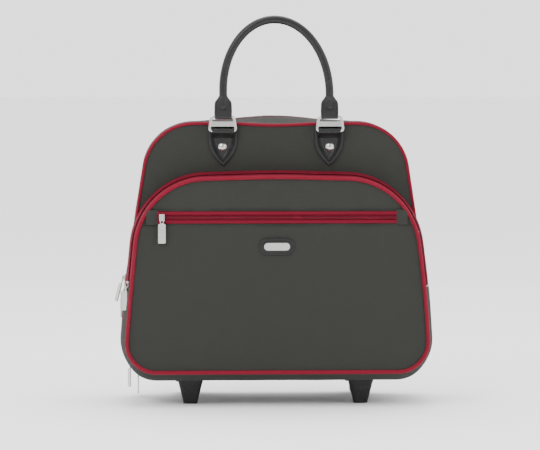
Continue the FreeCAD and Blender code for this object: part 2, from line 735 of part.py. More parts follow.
def back_gusset():
    line = gusset_outline()
    end = BOTTOM_Z + LAPTOP_ZIP_END
    wall = hoop(line, LAPTOP_ZIP_Y + TAPE_W, BACK_FACE_Y - 2 * BODY_PIPING_R)
    wall = wall.fuse(below(hoop(line, LAPTOP_ZIP_Y + SOFT_GAP, LAPTOP_ZIP_Y + TAPE_W), end))
    return wall.cut(both_sides(housing_blank, WHEEL_X))


# Zip sliders and pulls, made facing the front at the origin, with the pull hanging down

def eye_out():
    return SLIDER_T + EAR_H - PULL_EYE_R


def slider():
    """A slider with two ears and a pin; its back is on y = 0."""
    w, h = SLIDER_W / 2, SLIDER_L / 2
    body = soft_block((-w, w), (-SLIDER_T, 0), (-h, h), SLIDER_EDGE_R)
    parts = []
    for side in (-1, 1):
        x = sorted((side * EAR_GAP / 2, side * (EAR_GAP / 2 + EAR_T)))
        parts.append(block(x, (-SLIDER_T - EAR_H, -SLIDER_T + 0.5), (-2, 2)))
    reach = EAR_GAP / 2 + EAR_T / 2
    parts.append(rod(PIN_R, (-reach, -eye_out(), 0), (reach, -eye_out(), 0)))
    return body.fuse(parts)


def pull():
    """An eye on the slider's pin, a slim neck and a flat tag."""
    y = -eye_out()
    half = PULL_NECK_W / 2
    eye = rod(PULL_EYE_R, (-half, y, 0), (half, y, 0))
    neck = block((-half, half), (y - TAG_T / 2, y + TAG_T / 2), (-PULL_NECK_L, 0))
    w = TAG_W / 2
    corners = [(w, -PULL_NECK_L - TAG_L, 2.2), (w, 0.5 - PULL_NECK_L, 2.2),
               (-w, 0.5 - PULL_NECK_L, 2.2), (-w, -PULL_NECK_L - TAG_L, 2.2)]
    tag = slab(corners, y - TAG_T / 2, y + TAG_T / 2)
    eyelet = rod(1.5, (0, y - TAG_T, -PULL_NECK_L - 4), (0, y + TAG_T, -PULL_NECK_L - 4))
    return eye.fuse([neck, tag]).cut(rod(PIN_R + PIN_GAP, (-half, y, 0), (half, y, 0))).cut(eyelet)


def side_x(corners, z):
    """Half width of an outline at a height on its straight or gently curved side."""
    section = outline_wire(corners, 0)
    line = Part.makeLine(Vector(1, 0, z), Vector(BIG, 0, z))
    return line.distToShape(section)[1][0][0].x


def place_panel(shape, _is_slider):
    shape.translate(Vector(PANEL_SLIDER_IN - PANEL_ZIP_LENGTH / 2, POCKET_FACE_Y - PANEL_ZIP_T - SLIDER_OFF,
                           POCKET_Z + PANEL_ZIP_RISE))


def place_left(shape, outline, y, z, is_slider, face_turn=0.0, tilt=0.0):
    """Onto the left wall of the outline; a slider leans with the wall, and a pull hangs, tilted out."""
    lean = math.degrees(math.atan2(side_x(outline, z) - side_x(outline, z + 1), 1))
    shape.rotate(Vector(0, -eye_out(), 0), Vector(1, 0, 0), -lean if is_slider else -tilt)
    shape.rotate(Vector(0, 0, 0), Vector(0, 0, 1), face_turn - 90)
    shape.translate(Vector(-side_x(outline, z) - SLIDER_OFF, y, z))


def place_pocket(shape, is_slider):
    """Its wall also slopes towards the front, and the slider faces squarely out of it."""
    y = pocket_depths()[1]
    slope = math.degrees(math.atan2(POCKET_SPREAD, POCKET_DEPTH))
    z = BOTTOM_Z + POCKET_ZIP_END + POCKET_SLIDER_UP
    place_left(shape, pocket_wall_line(y), y, z, is_slider, face_turn=slope)


def place_main_lower(shape, is_slider):
    z = BOTTOM_Z + MAIN_ZIP_END + MAIN_SLIDER_UP
    place_left(shape, gusset_outline(), MAIN_ZIP_Y, z, is_slider)


def place_main_upper(shape, is_slider):
    z = BOTTOM_Z + MAIN_ZIP_END + MAIN_SLIDER_UP + SLIDER_PITCH
    place_left(shape, gusset_outline(), MAIN_ZIP_Y, z, is_slider, tilt=PULL_TILT)


def corner_centre():
    """Centre of the bottom corner's arc on the left."""
    corners = body_outline()
    into, out = unit(corners[-1], corners[0]), unit(corners[0], corners[1])
    turn = math.acos(into[0] * out[0] + into[1] * out[1])
    return -(corners[0][0] - BOTTOM_CORNER_R * math.tan(turn / 2)), BOTTOM_Z + BOTTOM_CORNER_R


def place_laptop(shape, is_slider, angle):
    """Onto the bottom left corner; only the slider turns with the corner, and its pull hangs."""
    x, z = corner_centre()
    radius = BOTTOM_CORNER_R + GUSSET_OUT + SLIDER_OFF
    shape.rotate(Vector(0, 0, 0), Vector(0, 0, 1), -90)
    if is_slider:
        shape.rotate(Vector(0, 0, 0), Vector(0, 1, 0), -angle)
        out = radius
    else:
        shape.translate(Vector(eye_out(), 0, 0))
        out = radius + eye_out()
    slope = math.radians(angle)
    shape.translate(Vector(x - out * math.cos(slope), LAPTOP_ZIP_Y, z - out * math.sin(slope)))


def place_laptop_upper(shape, is_slider):
    place_laptop(shape, is_slider, LAPTOP_SLIDER_ANGLES[0])


def place_laptop_lower(shape, is_slider):
    place_laptop(shape, is_slider, LAPTOP_SLIDER_ANGLES[1])


ZIPS = {
    "panel_zip": place_panel,
    "pocket_zip": place_pocket,
    "main_zip_upper": place_main_upper,
    "main_zip_lower": place_main_lower,
    "laptop_zip_upper": place_laptop_upper,
    "laptop_zip_lower": place_laptop_lower,
}


def zip_hardware():
    nodes = {}
    for name, put in ZIPS.items():
        for kind, make in (("slider", slider), ("pull", pull)):
            shape = make()
            put(shape, kind == "slider")
            nodes[f"{name}_{kind}"] = shape
    return nodes


def all_nodes():
    nodes = {
        "rear_gusset": rear_gusset(),
        "bottom_gusset": bottom_gusset(),
        "bottom_board": bottom_board(),
        "front_feet": both_sides(foot, FOOT_X),
        "foot_screws": both_sides(foot_screw, FOOT_X),
        "laptop_divider": laptop_divider(),
        "main_zip_rear_tape": main_zip_tape(1),
        "laptop_zip_front_tape": laptop_zip_tape(-1),
        "front_panel": front_panel(),
        "front_piping": cord_round(body_outline(), FRONT_FACE_Y + BODY_PIPING_R, BODY_PIPING_R),
        "front_gusset": front_gusset(),
        "main_zip_front_tape": main_zip_tape(-1),
        "pocket_zip_outer_tape": pocket_zip_outer_tape(),
        "pocket_gusset": pocket_gusset(),
        "front_chapes": chapes(FRONT_FACE_Y, -1),
        "front_rivets": rivets(FRONT_FACE_Y, -1),
        "pocket_panel": pocket_panel(),
        "pocket_piping": pocket_piping(),
        "pocket_zip_inner_tape": pocket_zip_inner_tape(),
        "panel_zip": panel_zip(),
        "badge_patch": badge_patch(),
        "badge_plate": badge_plate(),
        "back_panel": back_panel(),
        "back_piping": back_piping(),
        "back_gusset": back_gusset(),
        "laptop_zip_rear_tape": laptop_zip_tape(1),
        "outer_tubes": tubes(0, TUBE_TOP),
        "top_bracket": top_bracket(),
        "base_housing": base_housing(),
        "wheel_axles": wheel_axles(),
        "back_chapes": chapes(BACK_FACE_Y, 1),
        "back_rivets": rivets(BACK_FACE_Y, 1),
        "middle_tubes": tubes(1, TUBE_TOP + STAGE_STEP / 2),
        "inner_tubes": tubes(2, TUBE_TOP + GRIP_LIFT + GRIP_INSERT),
        "pull_grip": pull_grip(),
        "release_button": release_button(),
        "front_rings": rings(FRONT_PIN_Y, 1),
        "front_handle": handle_roll(FRONT_PIN_Y),
        "front_handle_cuffs": handle_cuffs(FRONT_PIN_Y),
        "back_rings": rings(BACK_PIN_Y, -1),
        "back_handle": hung(handle_roll(BACK_PIN_Y)),
        "back_handle_cuffs": hung(handle_cuffs(BACK_PIN_Y)),
    }
    for name, x in (("left", -WHEEL_X), ("right", WHEEL_X)):
        nodes[f"{name}_tyre"] = wheel_tyre(x)
        nodes[f"{name}_hub"] = wheel_hub(x)
        nodes[f"{name}_bearings"] = wheel_bearings(x)
    nodes.update(zip_hardware())
    return nodes


def main():
    os.makedirs("parts", exist_ok=True)
    for name, shape in all_nodes().items():
        shape = solids(shape)
        shape.exportStep(f"parts/{name}.step")
        box = shape.BoundBox
        state = "ok" if shape.isValid() else "BAD"
        print(f"{name:24s} {len(shape.Solids)} {state} {shape.Volume / 1000:9.2f} cm3"
              f"  x {box.XMin:7.1f} {box.XMax:7.1f}  y {box.YMin:7.1f} {box.YMax:7.1f}"
              f"  z {box.ZMin:7.1f} {box.ZMax:7.1f}")


main()
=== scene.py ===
"""Rolling laptop case: fabric shell, red piping and zippers, leather handles, metal fittings, wheels."""
import json
import math

import bmesh
import bpy
from bpy.props import FloatProperty, FloatVectorProperty, IntProperty
from mathutils import Matrix, Vector, noise


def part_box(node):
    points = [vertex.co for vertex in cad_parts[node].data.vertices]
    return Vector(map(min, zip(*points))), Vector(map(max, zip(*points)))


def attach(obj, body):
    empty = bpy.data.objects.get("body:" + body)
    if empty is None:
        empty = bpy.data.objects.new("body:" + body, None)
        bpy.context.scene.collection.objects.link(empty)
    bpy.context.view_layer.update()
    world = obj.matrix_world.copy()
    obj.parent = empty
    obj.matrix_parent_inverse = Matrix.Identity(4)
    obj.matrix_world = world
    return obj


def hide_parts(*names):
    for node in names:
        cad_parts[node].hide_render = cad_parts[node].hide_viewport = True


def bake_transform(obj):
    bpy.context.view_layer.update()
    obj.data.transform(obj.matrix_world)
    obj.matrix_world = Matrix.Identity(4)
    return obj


bl_info = {
    "name": "Rolling laptop case",
    "version": (1, 0, 0),
    "blender": (4, 5, 0),
    "location": "3D Viewport > Sidebar > Case",
    "description": "Builds a soft rolling laptop case piece by piece on its frame",
    "category": "Object",
}

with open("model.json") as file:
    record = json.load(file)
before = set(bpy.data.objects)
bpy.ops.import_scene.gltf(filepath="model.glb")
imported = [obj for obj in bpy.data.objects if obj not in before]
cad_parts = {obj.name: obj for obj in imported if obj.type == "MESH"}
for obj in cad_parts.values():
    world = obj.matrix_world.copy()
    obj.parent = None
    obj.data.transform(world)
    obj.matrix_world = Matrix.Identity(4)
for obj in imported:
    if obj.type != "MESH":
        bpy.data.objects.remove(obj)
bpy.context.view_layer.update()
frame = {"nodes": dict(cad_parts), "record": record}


def depth(node):
    """Lowest and highest Y of a frame node."""
    low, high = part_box(node)
    return low[1], high[1]


def height(node):
    low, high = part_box(node)
    return low[2], high[2]


def middle(node):
    low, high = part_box(node)
    return (Vector(low) + Vector(high)) / 2


# Places read from the frame, in metres
FRONT_OUT, FRONT_IN = depth("front_panel")
BACK_IN, BACK_OUT = depth("back_panel")
POCKET_OUT, POCKET_IN = depth("pocket_panel")
MAIN_ZIP = (depth("main_zip_front_tape")[1] + depth("main_zip_rear_tape")[0]) / 2
LAPTOP_ZIP = (depth("laptop_zip_front_tape")[1] + depth("laptop_zip_rear_tape")[0]) / 2
POCKET_ZIP = (depth("pocket_zip_outer_tape")[0] + depth("pocket_zip_inner_tape")[1]) / 2
TAPE = depth("main_zip_rear_tape")[1] - MAIN_ZIP
MAIN_ZIP_LOW = height("main_zip_front_tape")[0]
LAPTOP_ZIP_LOW = height("laptop_zip_front_tape")[0]
POCKET_ZIP_LOW = height("pocket_zip_inner_tape")[0]
POCKET_LOW, POCKET_HIGH = height("pocket_panel")
RING_PIN_Z = height("front_rings")[0] + 0.002
RING_BAR_Z = height("front_rings")[1] - 0.002
RING_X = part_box("front_rings")[1][0] - 0.021    # less half a ring
FRONT_PIN = middle("front_rings")[1]
BACK_PIN = middle("back_rings")[1]
BACK_RING_LOW = height("back_rings")[0] + 0.002

# Fixed sizes, in metres and degrees
TAB_HALF, TAB_POINT, TAB_THICK = 0.0202, 0.034, 0.0028   # half width, tapering end, padding
LOOP_HALF, LOOP_R, LOOP_WALL = 0.0155, 0.0036, 0.0013    # leather loops on the rings' pins
HANDLE_SPRING, HANDLE_RISE = 0.034, 0.136                # over the rings' bars
BACK_TILT = 6.5                                          # of the handle that hangs on the tubes
TOOTH_WIDE, TOOTH_HIGH = 0.0030, 0.0014
TAPE_TUCK = 0.0012                                       # of the zippers' tapes under the walls
FLAP_HALF, FLAP_DEPTH = 0.004, 0.0036                    # strips behind the zippers' teeth
SPOKES = 6


def bell(x):
    """A smooth hill of height 1 over -1 to 1, and 0 elsewhere."""
    return math.cos(math.pi * x / 2) ** 2 if abs(x) < 1 else 0.0


def climb(x):
    """A smooth step from 0 to 1."""
    x = max(0.0, min(1.0, x))
    return x * x * (3 - 2 * x)


def length(name, text, value):
    return FloatProperty(name=name, description=text, default=value, unit="LENGTH")


class CaseSizes(bpy.types.PropertyGroup):
    """Sizes of the case's soft parts and trim."""
    gusset_out: length("Gusset over seam", "How far the side fabric stands over its seams", 0.003)
    body_low: length("Body half width, low", "From the middle to the bottom corners' seam", 0.2205)
    body_high: length("Body half width, high", "From the middle to the top corners' seam", 0.1755)
    hip_rise: length("Hip height", "Height of the widest bend over the bottom seam", 0.130)
    hip_out: length("Hip", "How far the hip stands out of a straight side", 0.006)
    pocket_low: length("Pocket half width, low", "From the middle to the pocket's seam", 0.2135)
    pocket_high: length("Pocket half width, high", "The same at the crown's corners", 0.1895)
    pocket_spread: length("Pocket root", "How much wider the pocket is where it is sewn on", 0.009)
    body_piping: length("Body piping", "Radius of the piping round the body", 0.0023)
    pocket_piping: length("Pocket piping", "Radius of the piping round the pocket", 0.0029)
    slump: length("Slump", "How far the pocket bulges to its right side", 0.0045)
    crown: length("Crown", "Rise of the top behind the front handle", 0.0065)
    sag: length("Sag", "Dip of the front's top edge between the handle's tabs", 0.0025)
    pull_width: length("Pull width", "Width of a zipper pull's tag", 0.0105)
    pull_length: length("Pull length", "Length of a zipper pull's tag", 0.0275)
    wrinkle: length("Wrinkles", "Depth of the fabric's unevenness", 0.0007)
    tooth_pitch: length("Tooth pitch", "Distance between zipper teeth", 0.0022)
    stitch: length("Stitch", "Distance between stitches on leather", 0.0034)
    thread: length("Thread", "Thickness of one thread of the shell's weave", 0.0009)
    handle: length("Handle", "Radius of the rolled handles", 0.0057)
    around: IntProperty(name="Points round a seam", description="Stations along each panel's outline",
                        default=256, min=64)


def colour(name, text, value):
    return FloatVectorProperty(name=name, description=text, default=value, subtype="COLOR", min=0, max=1)


class CaseColours(bpy.types.PropertyGroup):
    """Colours of the case's materials."""
    shell: colour("Outer fabric", "Woven outer fabric", (0.028, 0.029, 0.0255))
    lining: colour("Lining", "Inner fabric", (0.17, 0.17, 0.165))
    red: colour("Zipper red", "Zipper tapes and coils", (0.125, 0.002, 0.013))
    piping: colour("Piping red", "Sewn piping", (0.17, 0.003, 0.017))
    leather: colour("Leather", "Handles, tabs and badge", (0.008, 0.008, 0.008))
    thread: colour("Thread", "Stitching on the leather", (0.022, 0.022, 0.022))
    silver: colour("Silver", "Plated fittings", (0.56, 0.56, 0.55))
    aluminium: colour("Aluminium", "Pull tubes", (0.32, 0.33, 0.34))
    plastic: colour("Plastic", "Feet, housings and grip", (0.011, 0.011, 0.011))
    rubber: colour("Rubber", "Tyres", (0.016, 0.016, 0.016))
    hub: colour("Hub", "Wheel hubs", (0.10, 0.10, 0.10))


def sizes():
    return bpy.context.scene.case_sizes


def colours():
    return bpy.context.scene.case_colours


# Outlines

class Outline:
    """A closed seam line in XZ with outward normals, stepped evenly from the bottom middle."""

    def __init__(self, corners, count, body=False):
        self.body = body
        dense = []
        for i, (x, z, r) in enumerate(corners):
            before, after = Vector(corners[i - 1][:2]), Vector(corners[(i + 1) % len(corners)][:2])
            at = Vector((x, z))
            into, out = (at - before).normalized(), (after - at).normalized()
            turn = into.angle(out)
            reach = r * math.tan(turn / 2)
            start = at - into * reach
            centre = start + Vector((-into.y, into.x)) * r
            steps = 40
            for k in range(steps + 1):
                a = turn * k / steps
                spoke = start - centre
                dense.append(centre + Vector((spoke.x * math.cos(a) - spoke.y * math.sin(a),
                                              spoke.x * math.sin(a) + spoke.y * math.cos(a))))
        lengths = [(dense[(i + 1) % len(dense)] - p).length for i, p in enumerate(dense)]
        self.length = sum(lengths)
        start = next(i for i, p in enumerate(dense) if p.x <= 0 <= dense[(i + 1) % len(dense)].x
                     and p.y < dense[0].y + 0.01)
        share = -dense[start].x / (dense[(start + 1) % len(dense)].x - dense[start].x)
        position = -share * lengths[start]
        self.points = []
        i, target = start, 0.0
        for k in range(count):
            target = self.length * k / count
            while position + lengths[i] < target:
                position += lengths[i]
                i = (i + 1) % len(dense)
            t = (target - position) / max(lengths[i], 1e-9)
            self.points.append(dense[i].lerp(dense[(i + 1) % len(dense)], t))
        self.count = count
        self.set_normals()

    def shift(self, move):
        """Moves every station by a function of its place, and finds the normals again."""
        self.points = [p + move(p) for p in self.points]
        self.set_normals()

    def set_normals(self):
        self.normals = []
        for k in range(self.count):
            along = self.points[(k + 1) % self.count] - self.points[k - 1]
            self.normals.append(Vector((along.y, -along.x)).normalized())

    def ring(self, y, out=0.0):
        """The outline at a depth, moved outward."""
        return [Vector((p.x + n.x * out, y, p.y + n.y * out)) for p, n in zip(self.points, self.normals)]


def mirrored(right):
    return right + [(-x, z, r) for x, z, r in reversed(right) if x > 0]


def body_outline():
    s = sizes()
    low_z, high_z = height("front_panel")
    low_z, high_z = low_z - 0.0025, high_z + 0.0025
    share = s.hip_rise / (high_z - low_z)
    hip = s.body_low + (s.body_high - s.body_low) * share + s.hip_out
    return Outline(mirrored([(s.body_low, low_z, 0.054), (hip, low_z + s.hip_rise, 0.5),
                             (s.body_high, high_z, 0.070)]), s.around, body=True)


def pocket_outline():
    s = sizes()
    low, high = POCKET_LOW - 0.003, POCKET_HIGH + 0.003
    outline = Outline(mirrored([(s.pocket_low, low, 0.041), (s.pocket_high, high - 0.004, 0.100),
                                (0.0, high + 0.001, 1.5)]), s.around)

    def slump(p):
        """The filled pocket bulges at its sides, more on the right."""
        share = bell((p.y - 0.15) / 0.17)
        full = s.slump * share * (1 if p.x > 0 else -0.25) * min(1.0, abs(p.x) / 0.12)
        return Vector((full, 0.0))
    outline.shift(slump)
    return outline


# Mesh building

def lift(co):
    """Rise of the top's soft cloth at a place."""
    s = sizes()
    top = climb((co.z - 0.30) / 0.085)
    behind = climb((co.y - FRONT_IN) / 0.035)
    shoulder = climb((abs(co.x) - 0.085) / 0.04)
    return top * (s.crown * bell(co.x / 0.10) * behind - s.sag * bell(co.x / 0.075) * (1 - behind)
                  - 0.0022 * shoulder * climb((co.y - MAIN_ZIP) / 0.05))


def settle(bm):
    """Lets the top's cloth rise or sag."""
    for v in bm.verts:
        v.co.z += lift(v.co)


def new_piece(name, bm, material, smooth=True):
    """An object from a finished bmesh."""
    name = name.replace(" ", "_")
    mesh = bpy.data.meshes.new(name)
    bm.to_mesh(mesh)
    bm.free()
    for polygon in mesh.polygons:
        polygon.use_smooth = smooth
    piece = bpy.data.objects.new(name, mesh)
    bpy.context.scene.collection.objects.link(piece)
    for entry in (material if isinstance(material, (list, tuple)) else [material]):
        mesh.materials.append(entry)
    return piece


def ring_start(bm, points):
    """A closed ring of vertices and edges."""
    verts = [bm.verts.new(p) for p in points]
    for a, b in zip(verts, verts[1:] + verts[:1]):
        bm.edges.new((a, b))
    return verts


def ring_grow(bm, verts, points):
    """Extrudes a ring of vertices to new places and gives the new ring."""
    edges = [bm.edges.get((a, b)) for a, b in zip(verts, verts[1:] + verts[:1])]
    result = bmesh.ops.extrude_edge_only(bm, edges=edges)
    fresh = [v for v in result["geom"] if isinstance(v, bmesh.types.BMVert)]
    near = {tuple(round(c, 7) for c in v.co): v for v in fresh}
    ordered = [near[tuple(round(c, 7) for c in v.co)] for v in verts]
    for v, p in zip(ordered, points):
        v.co = p
    return ordered


def add_skin(bm, rings, cap_start=True, cap_end=True):
    """Adds a skin through rings of as many points, and gives its first and last rings."""
    first = verts = ring_start(bm, rings[0])
    for points in rings[1:]:
        verts = ring_grow(bm, verts, points)
    if cap_start:
        bmesh.ops.contextual_create(bm, geom=first)
    if cap_end:
        bmesh.ops.contextual_create(bm, geom=verts)
    return first, verts


def loft(rings, cap_start=False, cap_end=False, join=False):
    """A bmesh skin through rings; join closes it into a loop."""
    bm = bmesh.new()
    first, verts = add_skin(bm, rings, cap_start, cap_end)
    if join:
        edges = [bm.edges.get((a, b)) for ring in (first, verts) for a, b in zip(ring, ring[1:] + ring[:1])]
        bmesh.ops.bridge_loops(bm, edges=edges)
    return bm


def outward(bm, centre=None):
    """Makes the normals face away from the case's inside; an open skin is compared with a centre."""
    bmesh.ops.recalc_face_normals(bm, faces=bm.faces)
    if centre is not None:
        score = sum(f.normal.dot((f.calc_center_median() - centre).normalized()) * f.calc_area()
                    for f in bm.faces)
        if score < 0:
            bmesh.ops.reverse_faces(bm, faces=bm.faces)


def keep(bm, point, normal, fill=False):
    """Cuts away what lies on the normal's side of a plane."""
    geom = bm.verts[:] + bm.edges[:] + bm.faces[:]
    cut = bmesh.ops.bisect_plane(bm, geom=geom, plane_co=point, plane_no=normal, clear_outer=True)
    if fill:
        bmesh.ops.edgenet_fill(bm, edges=[e for e in cut["geom_cut"] if isinstance(e, bmesh.types.BMEdge)])


def rough_up(bm, amount, scale=14.0, seed=0.0, hold=None, flow=(1.0, 1.0, 1.0)):
    """Moves vertices along their normals by smooth noise; hold gives a share from 0 to 1 by place."""
    bm.normal_update()
    offset = Vector((seed, seed * 1.7, -seed))
    for v in bm.verts:
        at = v.co * Vector(flow) * scale
        wave = noise.noise(at + offset) + 0.5 * noise.noise(at * 2.3 - offset)
        v.co += v.normal * wave * amount * (hold(v.co) if hold else 1.0)


def planar_uv(bm):
    """UV in metres as seen from the front."""
    layer = bm.loops.layers.uv.verify()
    for f in bm.faces:
        for loop in f.loops:
            loop[layer].uv = (loop.vert.co.x, loop.vert.co.z)


def wall_uv(bm, outline):
    """UV in metres round a wall: distance along the outline against depth."""
    layer = bm.loops.layers.uv.verify()
    step = outline.length / outline.count
    cells = {}
    for k, p in enumerate(outline.points):
        cells.setdefault((round(p.x * 40), round(p.y * 40)), []).append(k)

    def along(co):
        best, cx, cz = None, round(co.x * 40), round(co.z * 40)
        for dx in (-1, 0, 1):
            for dz in (-1, 0, 1):
                for k in cells.get((cx + dx, cz + dz), ()):
                    gap = (outline.points[k].x - co.x) ** 2 + (outline.points[k].y - co.z) ** 2
                    if best is None or gap < best[0]:
                        best = (gap, k)
        return (best[1] if best else 0) * step

    places = {v: along(v.co) for v in bm.verts}
    for f in bm.faces:
        values = [places[loop.vert] for loop in f.loops]
        wraps = max(values) - min(values) > outline.length / 2
        for loop, value in zip(f.loops, values):
            u = value + (outline.length if wraps and value < outline.length / 2 else 0.0)
            loop[layer].uv = (u, loop.vert.co.y)


def thicken(piece, wall, levels=1):
    """Gives a skin its cloth thickness inward and softens it."""
    solid = piece.modifiers.new("Cloth", "SOLIDIFY")
    solid.thickness, solid.offset = wall, -1.0
    if len(piece.data.materials) > 1:
        solid.material_offset = 1
    soften(piece, levels)


def soften(piece, levels):
    if levels:
        sub = piece.modifiers.new("Soft", "SUBSURF")
        sub.levels = sub.render_levels = levels


def tube_rings(path, radius, sides, closed=False, flat=1.0, flat_axis=None):
    """Circles square to a path, kept from twisting by a fixed side direction."""
    rings, last = [], None
    for i, p in enumerate(path):
        a = path[i - 1] if (i or closed) else path[i]
        b = path[(i + 1) % len(path)] if (i + 1 < len(path) or closed) else path[i]
        along = (b - a).normalized()
        side = flat_axis.copy() if flat_axis else (last or along.orthogonal())
        side = (side - along * side.dot(along)).normalized()
        last = side
        other = along.cross(side)
        r = radius(i / max(len(path) - 1, 1)) if callable(radius) else radius
        rings.append([p + side * math.cos(t) * r * flat + other * math.sin(t) * r
                      for t in (2 * math.pi * k / sides for k in range(sides))])
    return rings


def tube(path, radius, sides=12, closed=False, flat=1.0, flat_axis=None):
    """A round or flattened tube along a path."""
    bm = loft(tube_rings(path, radius, sides, closed, flat, flat_axis), not closed, not closed, closed)
    bmesh.ops.recalc_face_normals(bm, faces=bm.faces)
    return bm


def rounded(half_x, half_y, corner):
    """Points round a rectangle with round corners, about its middle."""
    points = []
    for quarter in range(4):
        cx = (half_x - corner) * (1 if quarter in (0, 3) else -1)
        cy = (half_y - corner) * (1 if quarter in (0, 1) else -1)
        for k in range(7):
            a = math.pi / 2 * (quarter + k / 6)
            points.append((cx + corner * math.cos(a), cy + corner * math.sin(a)))
    return points


def add_block(bm, size, place, bevel=0.0):
    """Adds a small block; place is a matrix that sets its middle and turn."""
    made = bmesh.ops.create_cube(bm, size=1.0, matrix=place @ Matrix.Diagonal((*size, 1.0)))
    if bevel:
        edges = list({e for v in made["verts"] for e in v.link_edges})
        bmesh.ops.bevel(bm, geom=edges, offset=bevel, segments=2, profile=0.5, affect="EDGES", material=-1)


def frame_at(at, along, up):
    """A matrix at a point with X along and Z up."""
    along = along.normalized()
    side = up.cross(along).normalized()
    top = along.cross(side)
    m = Matrix((along, side, top)).transposed().to_4x4()
    m.translation = at
    return m


def add_stitches(bm, path, up, spacing, closed=False, width=0.0006):
    """Short raised stitches along a path."""
    total = [0.0]
    loop = path + path[:1] if closed else path
    for a, b in zip(loop, loop[1:]):
        total.append(total[-1] + (b - a).length)
    count = max(2, int(total[-1] / spacing))
    i = 0
    for k in range(count):
        target = total[-1] * (k + 0.5) / count
        while total[i + 1] < target:
            i += 1
        a, b = loop[i], loop[i + 1]
        at = a.lerp(b, (target - total[i]) / max(total[i + 1] - total[i], 1e-9))
        place = frame_at(at + up * width * 0.25, b - a, up)
        add_block(bm, (spacing * 0.66, width, width), place, width * 0.3)


# Shader node groups

def group(name, inputs, outputs):
    """An empty shader node group with its input and output nodes."""
    tree = bpy.data.node_groups.new(name, "ShaderNodeTree")
    for label, kind, value in inputs:
        socket = tree.interface.new_socket(label, in_out="INPUT", socket_type=kind)
        if value is not None:
            socket.default_value = value
    for label, kind in outputs:
        tree.interface.new_socket(label, in_out="OUTPUT", socket_type=kind)
    return tree, tree.nodes.new("NodeGroupInput"), tree.nodes.new("NodeGroupOutput")


def maths(tree, operation, a, b=None, clamp=False):
    node = tree.nodes.new("ShaderNodeMath")
    node.operation, node.use_clamp = operation, clamp
    for slot, value in enumerate((a, b)):
        if value is None:
            continue
        if isinstance(value, (int, float)):
            node.inputs[slot].default_value = value
        else:
            tree.links.new(value, node.inputs[slot])
    return node.outputs[0]


def mix_colour(tree, share, a, b, blend="MIX"):
    node = tree.nodes.new("ShaderNodeMix")
    node.data_type, node.blend_type = "RGBA", blend
    for slot, value in ((0, share), (6, a), (7, b)):
        if isinstance(value, bpy.types.NodeSocket):
            tree.links.new(value, node.inputs[slot])
        else:
            node.inputs[slot].default_value = value
    return node.outputs[2]


def noise_node(tree, vector, scale, detail=3.0, roughness=0.55):
    node = tree.nodes.new("ShaderNodeTexNoise")
    node.inputs["Scale"].default_value = scale
    node.inputs["Detail"].default_value = detail
    node.inputs["Roughness"].default_value = roughness
    tree.links.new(vector, node.inputs["Vector"])
    return node.outputs["Fac"]


def weave_group():
    """Crossing threads: height, and a mask of painted shade in the gaps between threads with uneven thread
    tone, from a UV in metres.
    """
    tree, given, out = group("Weave",
                             [("UV", "NodeSocketVector", None), ("Thread", "NodeSocketFloat", 0.0009)],
                             [("Height", "NodeSocketFloat"), ("Shade", "NodeSocketFloat")])
    split = tree.nodes.new("ShaderNodeSeparateXYZ")
    tree.links.new(given.outputs["UV"], split.inputs[0])
    turns = maths(tree, "DIVIDE", 2 * math.pi, given.outputs["Thread"])
    u = maths(tree, "MULTIPLY", split.outputs[0], turns)
    v = maths(tree, "MULTIPLY", split.outputs[1], turns)
    warp = maths(tree, "SINE", u)
    weft = maths(tree, "SINE", v)
    cross = maths(tree, "SINE", maths(tree, "MULTIPLY", maths(tree, "ADD", u, v), 0.5))
    height = maths(tree, "ADD", maths(tree, "ABSOLUTE", warp), maths(tree, "ABSOLUTE", weft))
    height = maths(tree, "ADD", height, maths(tree, "MULTIPLY", cross, 0.45))
    tree.links.new(height, out.inputs["Height"])
    slub = noise_node(tree, given.outputs["UV"], 900.0, 2.0)
    # Painted shade: the weave's height makes thread crowns lighter and the gaps between threads darker in
    # the colour; the noise adds uneven thread tone.
    shade = maths(tree, "ADD", maths(tree, "MULTIPLY", height, 0.22), maths(tree, "MULTIPLY", slub, 0.5))
    tree.links.new(shade, out.inputs["Shade"])
    return tree


def grain_group():
    """Pebbled leather or moulded texture from object coordinates."""
    tree, given, out = group("Grain",
                             [("Vector", "NodeSocketVector", None), ("Scale", "NodeSocketFloat", 600.0)],
                             [("Height", "NodeSocketFloat"), ("Shade", "NodeSocketFloat")])
    cells = tree.nodes.new("ShaderNodeTexVoronoi")
    cells.feature = "SMOOTH_F1"
    tree.links.new(given.outputs["Vector"], cells.inputs["Vector"])
    tree.links.new(given.outputs["Scale"], cells.inputs["Scale"])
    fine = noise_node(tree, given.outputs["Vector"], 300.0, 4.0)
    height = maths(tree, "ADD", cells.outputs["Distance"], maths(tree, "MULTIPLY", fine, 0.6))
    tree.links.new(height, out.inputs["Height"])
    tree.links.new(noise_node(tree, given.outputs["Vector"], 22.0, 3.0), out.inputs["Shade"])
    return tree


def wear_group():
    """Broad uneven fading and fine lint or scuffs, as a mask."""
    tree, given, out = group("Wear",
                             [("Vector", "NodeSocketVector", None), ("Amount", "NodeSocketFloat", 0.3)],
                             [("Mask", "NodeSocketFloat"), ("Scuffs", "NodeSocketFloat")])
    broad = noise_node(tree, given.outputs["Vector"], 7.0, 4.0, 0.6)
    fine = noise_node(tree, given.outputs["Vector"], 70.0, 5.0, 0.65)
    both = maths(tree, "MULTIPLY", maths(tree, "ADD", maths(tree, "MULTIPLY", broad, 0.7),
                                         maths(tree, "MULTIPLY", fine, 0.5)), given.outputs["Amount"])
    tree.links.new(both, out.inputs["Mask"])
    ramp = tree.nodes.new("ShaderNodeMapRange")
    ramp.inputs["From Min"].default_value = 0.56
    ramp.inputs["From Max"].default_value = 0.72
    tree.links.new(fine, ramp.inputs["Value"])
    tree.links.new(ramp.outputs[0], out.inputs["Scuffs"])
    return tree


def place_group(tree, name):
    node = tree.nodes.new("ShaderNodeGroup")
    node.node_tree = bpy.data.node_groups[name]
    return node


